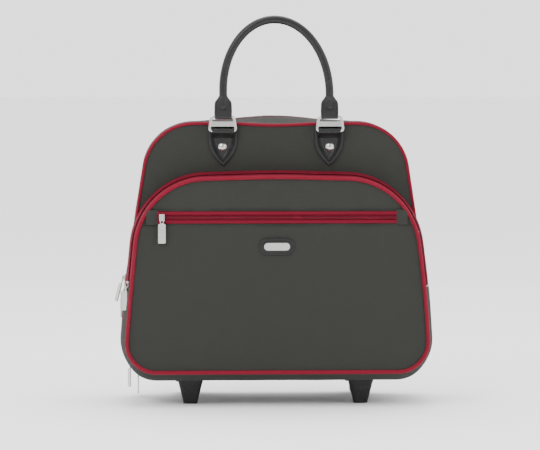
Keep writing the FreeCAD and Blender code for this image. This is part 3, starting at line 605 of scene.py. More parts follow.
def start_material(name, metallic, roughness, sheen=0.0, coat=0.0):
    """A material with its principled shader, and its texture coordinates."""
    material = bpy.data.materials.new(name)
    material.use_nodes = True
    tree = material.node_tree
    shader = tree.nodes["Principled BSDF"]
    shader.inputs["Metallic"].default_value = metallic
    shader.inputs["Roughness"].default_value = roughness
    shader.inputs["Sheen Weight"].default_value = sheen
    shader.inputs["Sheen Roughness"].default_value = 0.45
    shader.inputs["Coat Weight"].default_value = coat
    return material, tree, shader, tree.nodes.new("ShaderNodeTexCoord")


def bump(tree, shader, height, strength, distance):
    node = tree.nodes.new("ShaderNodeBump")
    node.inputs["Strength"].default_value = strength
    node.inputs["Distance"].default_value = distance
    tree.links.new(height, node.inputs["Height"])
    tree.links.new(node.outputs[0], shader.inputs["Normal"])


def tint(value, factor):
    return tuple(min(1.0, c * factor) for c in value[:3]) + (1.0,)


def cloth_material(name, base, thread, contrast=0.35, sheen=0.05, roughness=0.85, depth_of=0.0003):
    """Woven cloth with painted shade between its threads, uneven threads, soft fading and a little lint."""
    material, tree, shader, coords = start_material(name, 0.0, roughness, sheen)
    shader.inputs["Specular IOR Level"].default_value = 0.15
    weave, wear = place_group(tree, "Weave"), place_group(tree, "Wear")
    tree.links.new(coords.outputs["UV"], weave.inputs["UV"])
    tree.links.new(coords.outputs["Object"], wear.inputs["Vector"])
    weave.inputs["Thread"].default_value = thread
    wear.inputs["Amount"].default_value = 0.45
    # Painted shade between the threads, with uneven thread tone, mixed into the base colour.
    thread_shade_and_tone = mix_colour(tree, weave.outputs["Shade"], tint(base, 1 - contrast), tint(base, 1 + contrast))
    faded = mix_colour(tree, wear.outputs["Mask"], thread_shade_and_tone, tint(base, 1.35))
    tree.links.new(faded, shader.inputs["Base Color"])
    bump(tree, shader, weave.outputs["Height"], 0.55, depth_of)
    return material


def leather_material(name, base):
    material, tree, shader, coords = start_material(name, 0.0, 0.42, coat=0.04)
    shader.inputs["Specular IOR Level"].default_value = 0.3
    grain, wear = place_group(tree, "Grain"), place_group(tree, "Wear")
    for node in (grain, wear):
        tree.links.new(coords.outputs["Object"], node.inputs["Vector"])
    grain.inputs["Scale"].default_value = 750.0
    wear.inputs["Amount"].default_value = 0.5
    body = mix_colour(tree, grain.outputs["Shade"], tint(base, 0.75), tint(base, 1.5))
    scuffed = mix_colour(tree, wear.outputs["Scuffs"], body, tint(base, 2.6))
    tree.links.new(scuffed, shader.inputs["Base Color"])
    rough = maths(tree, "ADD", maths(tree, "MULTIPLY", wear.outputs["Mask"], 0.35), 0.30)
    tree.links.new(rough, shader.inputs["Roughness"])
    bump(tree, shader, grain.outputs["Height"], 0.45, 0.0004)
    return material


def metal_material(name, base, roughness, brushed=False):
    material, tree, shader, coords = start_material(name, 1.0, roughness)
    wear = place_group(tree, "Wear")
    vector = coords.outputs["Object"]
    if brushed:
        stretch = tree.nodes.new("ShaderNodeMapping")
        stretch.inputs["Scale"].default_value = (12.0, 12.0, 0.25)
        tree.links.new(vector, stretch.inputs["Vector"])
        vector = stretch.outputs[0]
    tree.links.new(vector, wear.inputs["Vector"])
    wear.inputs["Amount"].default_value = 0.8
    tree.links.new(mix_colour(tree, wear.outputs["Mask"], tint(base, 0.80), tint(base, 1.12)),
                   shader.inputs["Base Color"])
    rough = maths(tree, "ADD", maths(tree, "MULTIPLY", wear.outputs["Mask"], 0.22), roughness - 0.06)
    tree.links.new(rough, shader.inputs["Roughness"])
    bump(tree, shader, wear.outputs["Mask"], 0.06, 0.0003)
    return material


def plastic_material(name, base, roughness, grain_scale=1500.0):
    material, tree, shader, coords = start_material(name, 0.0, roughness)
    shader.inputs["Specular IOR Level"].default_value = 0.3
    grain, wear = place_group(tree, "Grain"), place_group(tree, "Wear")
    for node in (grain, wear):
        tree.links.new(coords.outputs["Object"], node.inputs["Vector"])
    grain.inputs["Scale"].default_value = grain_scale
    wear.inputs["Amount"].default_value = 0.5
    body = mix_colour(tree, wear.outputs["Mask"], tint(base, 0.8), tint(base, 1.7))
    scuffed = mix_colour(tree, wear.outputs["Scuffs"], body, tint(base, 2.6))
    tree.links.new(scuffed, shader.inputs["Base Color"])
    rough = maths(tree, "ADD", maths(tree, "MULTIPLY", wear.outputs["Mask"], 0.3), roughness - 0.12)
    tree.links.new(rough, shader.inputs["Roughness"])
    bump(tree, shader, grain.outputs["Height"], 0.3, 0.0002)
    return material


def material(name):
    return bpy.data.materials[name]


class CASE_OT_materials(bpy.types.Operator):
    """Makes the node groups and the finishes, and gives the frame's own nodes theirs"""
    bl_idname = "case.materials"
    bl_label = "Finishes"

    def execute(self, context):
        s, c = sizes(), colours()
        weave_group()
        grain_group()
        wear_group()
        cloth_material("Outer cloth", c.shell, s.thread)
        cloth_material("Lining cloth", c.lining, s.thread * 1.2, contrast=0.15, sheen=0.3)
        cloth_material("Zipper tape", c.red, 0.0011, contrast=0.30, sheen=0.0, roughness=0.7,
                       depth_of=0.0002)
        cloth_material("Piping cloth", c.piping, 0.0008, contrast=0.25, sheen=0.03, roughness=0.6)
        plastic_material("Zipper teeth", tuple(v * 1.1 for v in c.red), 0.5)
        leather_material("Leather", c.leather)
        cloth_material("Stitch thread", c.thread, 0.0006, contrast=0.2)
        metal_material("Plated silver", c.silver, 0.24)
        metal_material("Brushed steel", (0.5, 0.5, 0.5), 0.35, brushed=True)
        metal_material("Anodised aluminium", c.aluminium, 0.34, brushed=True)
        plastic_material("Moulded plastic", c.plastic, 0.55)
        plastic_material("Board", tuple(v * 2 for v in c.plastic), 0.7)
        plastic_material("Tyre rubber", c.rubber, 0.75, 900.0)
        plastic_material("Hub plastic", c.hub, 0.45)
        finish = {"silver": "Plated silver", "steel": "Brushed steel", "alu": "Anodised aluminium",
                  "plastic": "Moulded plastic", "board": "Board", "rubber": "Tyre rubber",
                  "hub": "Hub plastic", "leather": "Leather", "body_fabric": "Outer cloth",
                  "lining": "Lining cloth", "red_tape": "Zipper tape", "piping": "Piping cloth"}
        slots = {p["node"]: p["material_slot"] for p in frame["record"]["subparts"]}
        for name, node in frame["nodes"].items():
            node.data.materials.clear()
            node.data.materials.append(material(finish[slots[name]]))
        return {"FINISHED"}


# Soft walls and panels

def crowned_rings(outline, edge_y, face_y, reach=0.030):
    """Rings of a padded face: it rises from its seam over a short reach, then runs flat to the middle."""
    rings = []
    for k in range(9):
        t = k / 8
        rise = math.sin(t * math.pi / 2) ** 0.8
        rings.append(outline.ring(edge_y + (face_y - edge_y) * rise, -reach * t))
    inner = rings[-1]
    centre = sum(inner, Vector()) / len(inner)
    for k in range(1, 19):
        share = 1 - k / 19
        rings.append([centre + (p - centre) * share for p in inner])
    return rings


def face_panel(name, outline, seam_out, edge_y, face_y, back_y, finish, body, node, seed):
    """A padded flat panel with a crowned outer face and a plain lined back."""
    s = sizes()
    seam = outline.ring(edge_y, seam_out)
    rings = [[Vector((p.x, back_y, p.z)) for p in seam], seam]
    rings += crowned_rings(outline, edge_y, face_y)[1:]
    bm = loft(rings, cap_start=True, cap_end=True)
    outward(bm, Vector((0, (edge_y + back_y) / 2, 0.2)))
    sign = -1 if face_y < back_y else 1

    def only_face(co):
        near = (co.y - back_y) / (face_y - back_y)
        return max(0.0, min(1.0, near * 1.5 - 0.4))
    rough_up(bm, s.wrinkle * 1.5, 18.0, seed, only_face, (1.3, 1.0, 0.55))
    settle(bm)
    planar_uv(bm)
    for f in bm.faces:
        if f.normal.y * sign < -0.7:
            f.material_index = 1
    piece = new_piece(name, bm, [material(finish), material("Lining cloth")])
    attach(piece, body)
    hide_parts(node)
    return piece


def wall_rings(outline, y_start, y_end, bulge, steps=8, out=None):
    """Rings of a side wall that swells between its seams; out gives the offset by depth."""
    rings = []
    for k in range(steps + 1):
        t = k / steps
        y = y_start + (y_end - y_start) * t
        base = out(y) if out else sizes().gusset_out
        rings.append(outline.ring(y, base + bulge * math.sin(math.pi * t)))
    return rings


def side_wall(name, outline, y_start, y_end, body, nodes, cuts=(), bulge=0.0012, out=None, seed=0.0,
              finish=("Outer cloth", "Lining cloth"), wall=0.002, wrinkle=1.0, steps=8,
              shape=None):
    """A strip of wall round the case, cut by planes that each keep what lies behind them."""
    bm = loft(wall_rings(outline, y_start, y_end, bulge, steps, out))
    for point, normal in cuts:
        keep(bm, Vector(point), Vector(normal))
    outward(bm, Vector((0, (y_start + y_end) / 2, 0.2)))
    low, high = min(y_start, y_end), max(y_start, y_end)

    def off_seams(co):
        t = (co.y - low) / (high - low)
        return max(0.0, min(1.0, 4 * t * (1 - t)))
    if wrinkle:
        rough_up(bm, sizes().wrinkle * wrinkle, 22.0, seed, off_seams)
    if shape:
        shape(bm)
    if outline.body:
        settle(bm)
    wall_uv(bm, outline)
    piece = new_piece(name, bm, [material(f) for f in finish])
    thicken(piece, wall)
    if body:
        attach(piece, body)
    if nodes:
        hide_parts(*nodes)
    return piece


class CASE_OT_body_panels(bpy.types.Operator):
    """Builds the padded front and back panels"""
    bl_idname = "case.body_panels"
    bl_label = "Front and back panels"

    def execute(self, context):
        outline = body_outline()
        face_panel("Front panel cloth", outline, -0.0004, FRONT_OUT + 0.0016, FRONT_OUT, FRONT_IN,
                   "Outer cloth", "front_section", "front_panel", 3.1)
        back = face_panel("Back panel cloth", outline, -0.0004, BACK_OUT - 0.0016, BACK_OUT, BACK_IN,
                          "Outer cloth", "back_section", "back_panel", 8.4)
        cut_for_wheels(back)
        return {"FINISHED"}


def housing_cutters():
    """Blocks where the wheel housings stand in the soft parts, as (low, high) corners."""
    low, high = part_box("base_housing")
    for side in (-1, 1):
        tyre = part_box("right_tyre" if side > 0 else "left_tyre")
        centre = (tyre[0][0] + tyre[1][0]) / 2
        half = high[0] - centre
        yield (Vector((centre - half, low[1], low[2])), Vector((centre + half, high[1], high[2])))


def cut_for_wheels(piece):
    """Takes the wheel housings' room out of a soft piece."""
    for i, (low, high) in enumerate(housing_cutters()):
        bm = bmesh.new()
        bmesh.ops.create_cube(bm, size=1.0)
        bmesh.ops.scale(bm, vec=high - low, verts=bm.verts)
        bmesh.ops.translate(bm, vec=(low + high) / 2, verts=bm.verts)
        cutter = new_piece(f"{piece.name}_room_{i}", bm, material("Outer cloth"))
        cut = piece.modifiers.new("Wheel room", "BOOLEAN")
        cut.operation, cut.object, cut.solver = "DIFFERENCE", cutter, "EXACT"
        bpy.context.view_layer.update()
        shaped = bpy.data.meshes.new_from_object(piece.evaluated_get(bpy.context.evaluated_depsgraph_get()))
        piece.modifiers.clear()
        piece.data = shaped
        bpy.data.objects.remove(cutter)


class CASE_OT_body_walls(bpy.types.Operator):
    """Builds the side, top and bottom walls between the panels and the zippers"""
    bl_idname = "case.body_walls"
    bl_label = "Side walls"

    def execute(self, context):
        outline = body_outline()
        front_seam = FRONT_IN
        up, down = ((0, 0, MAIN_ZIP_LOW), (0, 0, -1)), ((0, 0, MAIN_ZIP_LOW), (0, 0, 1))
        side_wall("Front wall cloth", outline, front_seam, MAIN_ZIP - TAPE, "front_section",
                  ["front_gusset"], [up], seed=1.0)
        low = side_wall("Lower wall cloth", outline, front_seam, MAIN_ZIP + TAPE + 0.0008, None,
                        ["bottom_gusset"], [down], seed=2.0, steps=12)
        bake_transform(low)
        side_wall("Middle wall cloth", outline, MAIN_ZIP + TAPE, LAPTOP_ZIP - TAPE, "main_body",
                  ["rear_gusset"], seed=3.0)
        back = side_wall("Back wall cloth", outline, LAPTOP_ZIP + TAPE, BACK_OUT - 0.005, None, [], seed=4.0)
        cut_for_wheels(back)
        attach(back, "back_section")
        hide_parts("back_gusset")
        under = ((0, 0, LAPTOP_ZIP_LOW), (0, 0, 1))
        fold = side_wall("Bottom fold cloth", outline, LAPTOP_ZIP - TAPE, LAPTOP_ZIP + TAPE, None, [],
                         [under], wrinkle=0, bulge=0.0, steps=8)
        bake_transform(fold)
        return {"FINISHED"}


def piping(name, outline, y, radius, body, node, out=0.0, wheel_room=False):
    """A covered cord sewn round a seam."""
    bm = tube(outline.ring(y, out), radius, 12, closed=True)
    if outline.body:
        settle(bm)
    layer = bm.loops.layers.uv.verify()
    for f in bm.faces:
        for loop in f.loops:
            co = loop.vert.co
            loop[layer].uv = (co.x + co.z, co.y + (co.z - co.x) * 0.35)
    piece = new_piece(name, bm, material("Piping cloth"))
    if wheel_room:
        cut_for_wheels(piece)
    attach(piece, body)
    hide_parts(node)
    return piece


class CASE_OT_piping(bpy.types.Operator):
    """Sews the red piping round the body's two panels and the pocket's panel"""
    bl_idname = "case.piping"
    bl_label = "Piping"

    def execute(self, context):
        s = sizes()
        outline = body_outline()
        piping("Front piping cord", outline, (FRONT_OUT + FRONT_IN) / 2, s.body_piping, "front_section",
               "front_piping", 0.0012)
        piping("Back piping cord", outline, BACK_OUT - 0.0025, s.body_piping, "back_section", "back_piping",
               0.0012, wheel_room=True)
        piping("Pocket piping cord", pocket_outline(), POCKET_IN - 0.0027, s.pocket_piping, "pocket_section",
               "pocket_piping")
        return {"FINISHED"}


# Zippers

def open_run(outline, y, out, low):
    """Points of the outline over a height, in order from one end round to the other."""
    ring = outline.ring(y, out)
    start = next(i for i in range(len(ring)) if ring[i].z >= low and ring[i - 1].z < low and ring[i].x > 0)
    ordered = ring[start:] + ring[:start]
    return [p for p in ordered if p.z >= low]


def teeth(name, path, up_of, split, body, side):
    """One row of coil teeth along a zipper; split points from the row to the other row."""
    s = sizes()
    bm = bmesh.new()
    total = [0.0]
    for a, b in zip(path, path[1:]):
        total.append(total[-1] + (b - a).length)
    count, i = int(total[-1] / s.tooth_pitch), 0
    for k in range(count):
        target = total[-1] * (k + (0.25 if side > 0 else 0.75)) / count
        while i + 2 < len(total) and total[i + 1] < target:
            i += 1
        a, b = path[i], path[i + 1]
        at = a.lerp(b, (target - total[i]) / max(total[i + 1] - total[i], 1e-9))
        up = up_of(at)
        place = frame_at(at + up * 0.0009 + split * 0.0004, b - a, up)
        size = Matrix.Diagonal((s.tooth_pitch * 0.42, TOOTH_WIDE, TOOTH_HIGH, 1.0))
        made = bmesh.ops.create_cube(bm, size=1.0, matrix=place @ size)
        edges = [e for e in {e for v in made["verts"] for e in v.link_edges}
                 if abs((e.verts[0].co - e.verts[1].co).normalized().dot((b - a).normalized())) < 0.5
                 and (e.verts[0].co + e.verts[1].co).dot(up) / 2 > at.dot(up) + 0.001]
        bmesh.ops.bevel(bm, geom=edges, offset=0.0003, segments=1, profile=0.5, affect="EDGES", material=-1)
    piece = new_piece(name, bm, material("Zipper teeth"), smooth=False)
    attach(piece, body)
    return piece


def radial_up(outline):
    """A function that gives the wall's outward direction near a place."""
    def up(at):
        best = min(range(0, outline.count, 2),
                   key=lambda k: (outline.points[k].x - at.x) ** 2 + (outline.points[k].y - at.z) ** 2)
        n = outline.normals[best]
        return Vector((n.x, 0.0, n.y))
    return up


def ring_zipper(label, outline, line_y, low, out_of, front_body, back_body, front_node, back_node, widths):
    """A zipper round the wall: two ribbed tapes and their rows of teeth."""
    cut = [((0, 0, low), (0, 0, -1))]
    up = radial_up(outline)
    for side, body, node, width, half in ((-1, front_body, front_node, widths[0], "front"),
                                          (1, back_body, back_node, widths[1], "rear")):
        near, far = line_y + side * 0.0012, line_y + side * width
        side_wall(f"{label} tape {half}", outline, near, far, body, [node], cut, bulge=0.0002, out=out_of,
                  finish=("Zipper tape", "Zipper tape"), wall=0.0011, wrinkle=0, steps=5)
        path = open_run(outline, line_y + side * 0.0014, out_of(line_y), low + 0.001)
        if outline.body:
            path = [p + Vector((0, 0, lift(p))) for p in path]
        teeth(f"{label} teeth {half}", path, up, Vector((0, -side, 0)), body, side)


def pocket_out(y):
    """How far the pocket's wall stands outside its panel's seam at a depth."""
    return sizes().pocket_spread * (y - POCKET_IN) / (FRONT_OUT - POCKET_IN)


class CASE_OT_zippers(bpy.types.Operator):
    """Builds the zippers round the main, laptop and pocket compartments"""
    bl_idname = "case.zippers"
    bl_label = "Compartment zippers"

    def execute(self, context):
        body = body_outline()
        out = sizes().gusset_out - 0.0006
        under = TAPE + TAPE_TUCK
        ring_zipper("Main zipper", body, MAIN_ZIP, MAIN_ZIP_LOW, lambda y: out, "front_section", "main_body",
                    "main_zip_front_tape", "main_zip_rear_tape", (under, under))
        self.flap("Main zipper flap", body, MAIN_ZIP, MAIN_ZIP_LOW)
        ring_zipper("Laptop zipper", body, LAPTOP_ZIP, LAPTOP_ZIP_LOW, lambda y: out, "main_body",
                    "back_section", "laptop_zip_front_tape", "laptop_zip_rear_tape", (under, under))
        self.flap("Laptop zipper flap", body, LAPTOP_ZIP, LAPTOP_ZIP_LOW)
        ring_zipper("Pocket zipper", pocket_outline(), POCKET_ZIP, POCKET_ZIP_LOW, pocket_out,
                    "pocket_section", "front_section", "pocket_zip_inner_tape", "pocket_zip_outer_tape",
                    (POCKET_ZIP - POCKET_IN - 0.0004, FRONT_OUT - POCKET_ZIP - 0.0004))
        return {"FINISHED"}

    def flap(self, name, outline, line_y, low):
        """A strip of lining sewn inside the zipper, behind its teeth."""
        out = sizes().gusset_out - FLAP_DEPTH
        side_wall(name, outline, line_y - FLAP_HALF, line_y + FLAP_HALF, "main_body", [],
                  [((0, 0, low), (0, 0, -1))], bulge=0.0, out=lambda y: out,
                  finish=("Lining cloth", "Lining cloth"), wall=0.0008, wrinkle=0, steps=3)


# Pocket

class CASE_OT_pocket(bpy.types.Operator):
    """Builds the front pocket: its padded panel, lower wall, end patches and seams"""
    bl_idname = "case.pocket"
    bl_label = "Front pocket"

    def execute(self, context):
        outline = pocket_outline()
        face_panel("Pocket panel cloth", outline, -0.0004, POCKET_IN - 0.0022, POCKET_OUT, POCKET_IN,
                   "Outer cloth", "pocket_section", "pocket_panel", 5.7)
        below = ((0, 0, POCKET_ZIP_LOW), (0, 0, 1))

        def hang(bm):
            for v in bm.verts:
                back = climb((v.co.y - POCKET_IN) / 0.02)
                v.co.z -= 0.0055 * back * climb((0.070 - v.co.z) / 0.03)
        wall = side_wall("Pocket wall cloth", outline, POCKET_IN + 0.0002, FRONT_OUT, None,
                         ["pocket_gusset"], [below], out=pocket_out, bulge=0.002, seed=6.0, shape=hang)
        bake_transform(wall)
        self.panel_zipper()
        self.badge()
        return {"FINISHED"}

    def panel_zipper(self):
        """The straight zipper across the panel, its two end patches and the seams that frame it."""
        low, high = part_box("panel_zip")
        low, high = Vector(low), Vector(high)
        z = (low.z + high.z) / 2
        half_h = (high.z - low.z) / 2
        bm = bmesh.new()
        for side in (-1, 1):
            at = Vector((0, high.y - 0.0003, z + side * (half_h / 2 + 0.0008)))
            add_block(bm, (high.x - low.x, 0.0006, half_h - 0.0016), Matrix.Translation(at), 0.0002)
            at = Vector((0, high.y - 0.0010, z + side * (half_h + 0.0036) / 2))
            add_block(bm, (high.x - low.x, 0.0020, half_h - 0.0036), Matrix.Translation(at), 0.0008)
        planar_uv(bm)
        tape = new_piece("Panel zipper tape", bm, material("Zipper tape"))
        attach(tape, "pocket_section")
        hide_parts("panel_zip")
        for side in (-1, 1):
            path = [Vector((low.x + (high.x - low.x) * k / 40, high.y - 0.0008, z + side * 0.0014))
                    for k in range(41)]
            half = "lower" if side < 0 else "upper"
            teeth(f"Panel zipper teeth {half}", path, lambda at: Vector((0, -1, 0)), Vector((0, 0, -side)),
                  "pocket_section", side)
        bm = bmesh.new()
        for side in (-1, 1):
            x = side * (high.x + 0.0070)
            at = (x, high.y - 0.0006, z)
            add_block(bm, (0.0165, 0.0016, half_h * 2 + 0.004), Matrix.Translation(at), 0.0006)
        planar_uv(bm)
        ends = new_piece("Panel zipper ends", bm, material("Outer cloth"))
        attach(ends, "pocket_section")
        bm = bmesh.new()
        for dz in (half_h + 0.0012, -half_h - 0.0012):
            rings = tube_rings(self.face_line(z + dz), 0.0006, 6, flat_axis=Vector((0, 0, 1)))
            add_skin(bm, rings, cap_start=False, cap_end=False)
        for dz in (half_h + 0.0036, -half_h - 0.0036):
            add_stitches(bm, self.face_line(z + dz), Vector((0, -1, 0)), 0.0030, width=0.0005)
        bmesh.ops.recalc_face_normals(bm, faces=bm.faces)
        planar_uv(bm)
        seams = new_piece("Panel zipper seams", bm, material("Outer cloth"))
        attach(seams, "pocket_section")

    def face_line(self, z):
        """A level line across the pocket's face from seam to seam, just over the cloth."""
        outline = pocket_outline()
        near = sorted(outline.points, key=lambda p: abs(p.y - z))[:12]
        left, right = min(p.x for p in near) + 0.002, max(p.x for p in near) - 0.002
        path = []
        for k in range(81):
            x = left + (right - left) * k / 80
            t = min(1.0, min(x - left, right - x) / 0.030)
            rise = math.sin(t * math.pi / 2) ** 0.8
            edge = POCKET_IN - 0.0022
            path.append(Vector((x, edge + (POCKET_OUT - edge) * rise - 0.0002, z)))
        return path

    def badge(self):
        """A stitched leather patch that carries a plain metal plate."""
        low, high = (Vector(c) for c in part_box("badge_patch"))
        centre = (low + high) / 2
        w, h = (high.x - low.x) / 2, (high.z - low.z) / 2

        def rim(shrink, y):
            ring = []
            for k in range(72):
                t = 2 * math.pi * k / 72
                c, sn = math.cos(t), math.sin(t)
                x = (w - h) * (1 if c >= 0 else -1) + (h - shrink) * c
                ring.append(Vector((centre.x + x, y, centre.z + (h - shrink) * sn)))
            return ring
        rings = [rim(0, high.y), rim(0, low.y + 0.0006), rim(0.0005, low.y + 0.0002), rim(0.0014, low.y),
                 rim(0.003, low.y + 0.0004), rim(0.0046, low.y + 0.0001), rim(h * 0.7, low.y)]
        bm = loft(rings, cap_start=True, cap_end=True)
        bmesh.ops.recalc_face_normals(bm, faces=bm.faces)
        patch = new_piece("Badge leather", bm, material("Leather"))
        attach(patch, "pocket_section")
        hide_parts("badge_patch")
        bm = bmesh.new()
        add_stitches(bm, rim(0.003, low.y + 0.0003), Vector((0, -1, 0)), 0.0028, closed=True, width=0.0006)
        planar_uv(bm)
        thread = new_piece("Badge stitches", bm, material("Stitch thread"))
        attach(thread, "pocket_section")


# Leather tabs and handles

def tab_edge(x, inset, pin_z):
    """Outline of a leather tab from one upper corner round its pointed end to the other, in XZ."""
    half, bottom, top = TAB_HALF - inset, height("front_chapes")[0] + inset * 1.5, pin_z + 0.002
    points = [Vector((x + half, 0, top)), Vector((x + half, 0, bottom + 0.042))]
    for k in range(19):
        rise = TAB_POINT * (1 - k / 18) ** 1.4
        wide = half * math.sin(math.pi / 2 * rise / TAB_POINT) ** 0.87
        points.append(Vector((x + max(0.0006, wide), 0, bottom + rise)))
    return points + [Vector((2 * x - p.x, 0, p.z)) for p in reversed(points)]


class CASE_OT_leather(bpy.types.Operator):
    """Builds the leather tabs and the two rolled handles with their cuffs"""
    bl_idname = "case.leather"
    bl_label = "Leather tabs and handles"

    def execute(self, context):
        self.tabs("Front tabs", "front_chapes", "front_section", FRONT_OUT, -1, FRONT_PIN)
        self.tabs("Back tabs", "back_chapes", "back_section", BACK_OUT, 1, BACK_PIN)
        self.handle("Front", "front_carry_handle", ["front_handle"], ["front_handle_cuffs"], FRONT_PIN,
                    False)
        self.handle("Back", "back_carry_handle", ["back_handle"], ["back_handle_cuffs"], BACK_PIN, True)
        return {"FINISHED"}

    def tabs(self, name, node, body, face, side, pin_y):
        """Padded tabs with a folded loop over the ring's pin, and a row of stitches inside the edge."""
        bm = bmesh.new()
        thread = bmesh.new()
        thick = TAB_THICK
        for sign in (-1, 1):
            x = sign * RING_X
            layers = [(0.0, 0.0), (0.0, thick * 0.75), (0.0007, thick), (0.0026, thick),
                      (0.0034, thick * 0.86), (0.0042, thick), (0.010, thick * 1.12)]
            rings = [[Vector((p.x, face + side * rise, p.z)) for p in tab_edge(x, inset, RING_PIN_Z)]
                     for inset, rise in layers]
            add_skin(bm, rings, cap_start=False)
            self.loop(bm, x, face, side, pin_y)
            edge = [Vector((p.x, face + side * thick * 0.92, p.z))
                    for p in tab_edge(x, 0.0034, RING_PIN_Z - 0.006)]
            add_stitches(thread, edge, Vector((0, side, 0)), sizes().stitch, width=0.0007)
        bmesh.ops.recalc_face_normals(bm, faces=bm.faces)
        piece = new_piece(f"{name} leather", bm, material("Leather"))
        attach(piece, body)
        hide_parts(node)
        planar_uv(thread)
        seam = new_piece(f"{name} stitches", thread, material("Stitch thread"))
        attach(seam, body)

    def loop(self, bm, x, face, side, pin_y):
        """The strap folded over a ring's pin, as a bent strip."""
        reach = abs(pin_y - face)
        strip = [(0.0006, RING_PIN_Z - 0.013), (0.0040, RING_PIN_Z - 0.0085)]
        for k in range(13):
            a = -math.pi / 2 + math.pi * 1.02 * k / 12
            strip.append((reach + LOOP_R * math.cos(a), RING_PIN_Z + LOOP_R * math.sin(a)))
        strip += [(reach - 0.004, RING_PIN_Z + 0.0032), (0.0028, RING_PIN_Z + 0.0018),
                  (0.0012, RING_PIN_Z - 0.001)]
        half = LOOP_HALF
        rings = []
        for u in (-half, -half + 0.0008, half - 0.0008, half):
            outer = [Vector((x + u, face + side * p, z)) for p, z in strip]
            inner = []
            for k, (p, z) in enumerate(strip):
                a, b = strip[max(k - 1, 0)], strip[min(k + 1, len(strip) - 1)]
                along = Vector((b[0] - a[0], b[1] - a[1])).normalized()
                inner.append(Vector((x + u, face + side * (p - along.y * LOOP_WALL),
                                     z + along.x * LOOP_WALL)))
            rings.append(outer + inner[::-1])
        add_skin(bm, rings, cap_start=False)

    def handle(self, name, body, rolls, cuffs, pin_y, hanging):
        """A stitched leather roll bent into an arch, with flattened ends folded round the rings."""
        s = sizes()
        base = RING_BAR_Z
        spring = base + HANDLE_SPRING
        crown = base + HANDLE_RISE
        path = [Vector((-RING_X, pin_y, base + 0.010 + 0.024 * k / 5)) for k in range(5)]
        for k in range(49):
            t = math.pi * (1 - k / 48)
            path.append(Vector((RING_X * math.cos(t) - 0.0025 * math.sin(t), pin_y,
                                spring + (crown - spring) * math.sin(t))))
        path += [Vector((RING_X, p.y, p.z)) for p in reversed(path[:5])]
        bm = tube(path, s.handle, 20, flat_axis=Vector((0, 1, 0)))
        ridge = tube([p + Vector((0, s.handle * 0.96, 0)) for p in path[4:-4]], 0.0011, 8,
                     flat_axis=Vector((0, 1, 0)))
        thread = bmesh.new()
        add_stitches(thread, [p + Vector((0, s.handle * 0.96 - 0.0002, 0)) for p in path[4:-4]],
                     Vector((0, 1, 0)), s.stitch, width=0.0007)
        cuff = bmesh.new()
        for sign in (-1, 1):
            self.cuff(cuff, thread, sign * RING_X, pin_y, base)
        hang = self.turned(pin_y, BACK_RING_LOW, BACK_TILT) @ self.turned(pin_y, RING_PIN_Z, 180.0)
        parts = (("roll", bm, "Leather", rolls), ("seam", ridge, "Leather", []),
                 ("cuffs", cuff, "Leather", cuffs), ("stitches", thread, "Stitch thread", []))
        for label, mesh, finish, nodes in parts:
            if hanging:
                bmesh.ops.transform(mesh, matrix=hang, verts=mesh.verts)
            bmesh.ops.recalc_face_normals(mesh, faces=mesh.faces)
            planar_uv(mesh)
            piece = new_piece(f"{name} handle {label}", mesh, material(finish))
            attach(piece, body)
            if nodes:
                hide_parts(*nodes)

    def turned(self, y, z, degrees):
        """A turn about a level line across the case."""
        middle_line = Matrix.Translation((0, y, z))
        return middle_line @ Matrix.Rotation(math.radians(degrees), 4, "X") @ middle_line.inverted()

    def cuff(self, bm, thread, x, pin_y, base):
        """A flattened end: round where it meets the roll, wide and flat where it folds round the ring."""
        profile = [(-0.0034, 0.0105, 0.0020), (-0.0030, 0.0118, 0.0030), (0.0, 0.0124, 0.0036),
                   (0.008, 0.0125, 0.0036), (0.018, 0.0122, 0.0037), (0.0215, 0.0112, 0.0042),
                   (0.024, 0.0092, 0.0052), (0.0265, 0.0072, 0.0060), (0.029, 0.0062, 0.0060)]
        rings = []
        for up, wide, thick in profile:
            power = 0.45 if up < 0.02 else 0.8
            ring = []
            for k in range(32):
                t = 2 * math.pi * k / 32
                c, sn = math.cos(t), math.sin(t)
                ring.append(Vector((x + wide * math.copysign(abs(c) ** power, c),
                                    pin_y + thick * math.copysign(abs(sn) ** power, sn), base + up)))
            rings.append(ring)
        add_skin(bm, rings)
        for side in (-1, 1):
            y = pin_y + side * 0.0036
            box = [Vector((x + dx, y, base + dz)) for dx, dz in
                   ((-0.01, 0.0195), (-0.01, 0.001), (0.01, 0.001), (0.01, 0.0195), (-0.01, 0.0195))]
            add_stitches(thread, box, Vector((0, side, 0)), sizes().stitch, width=0.0007)


# Zipper pulls

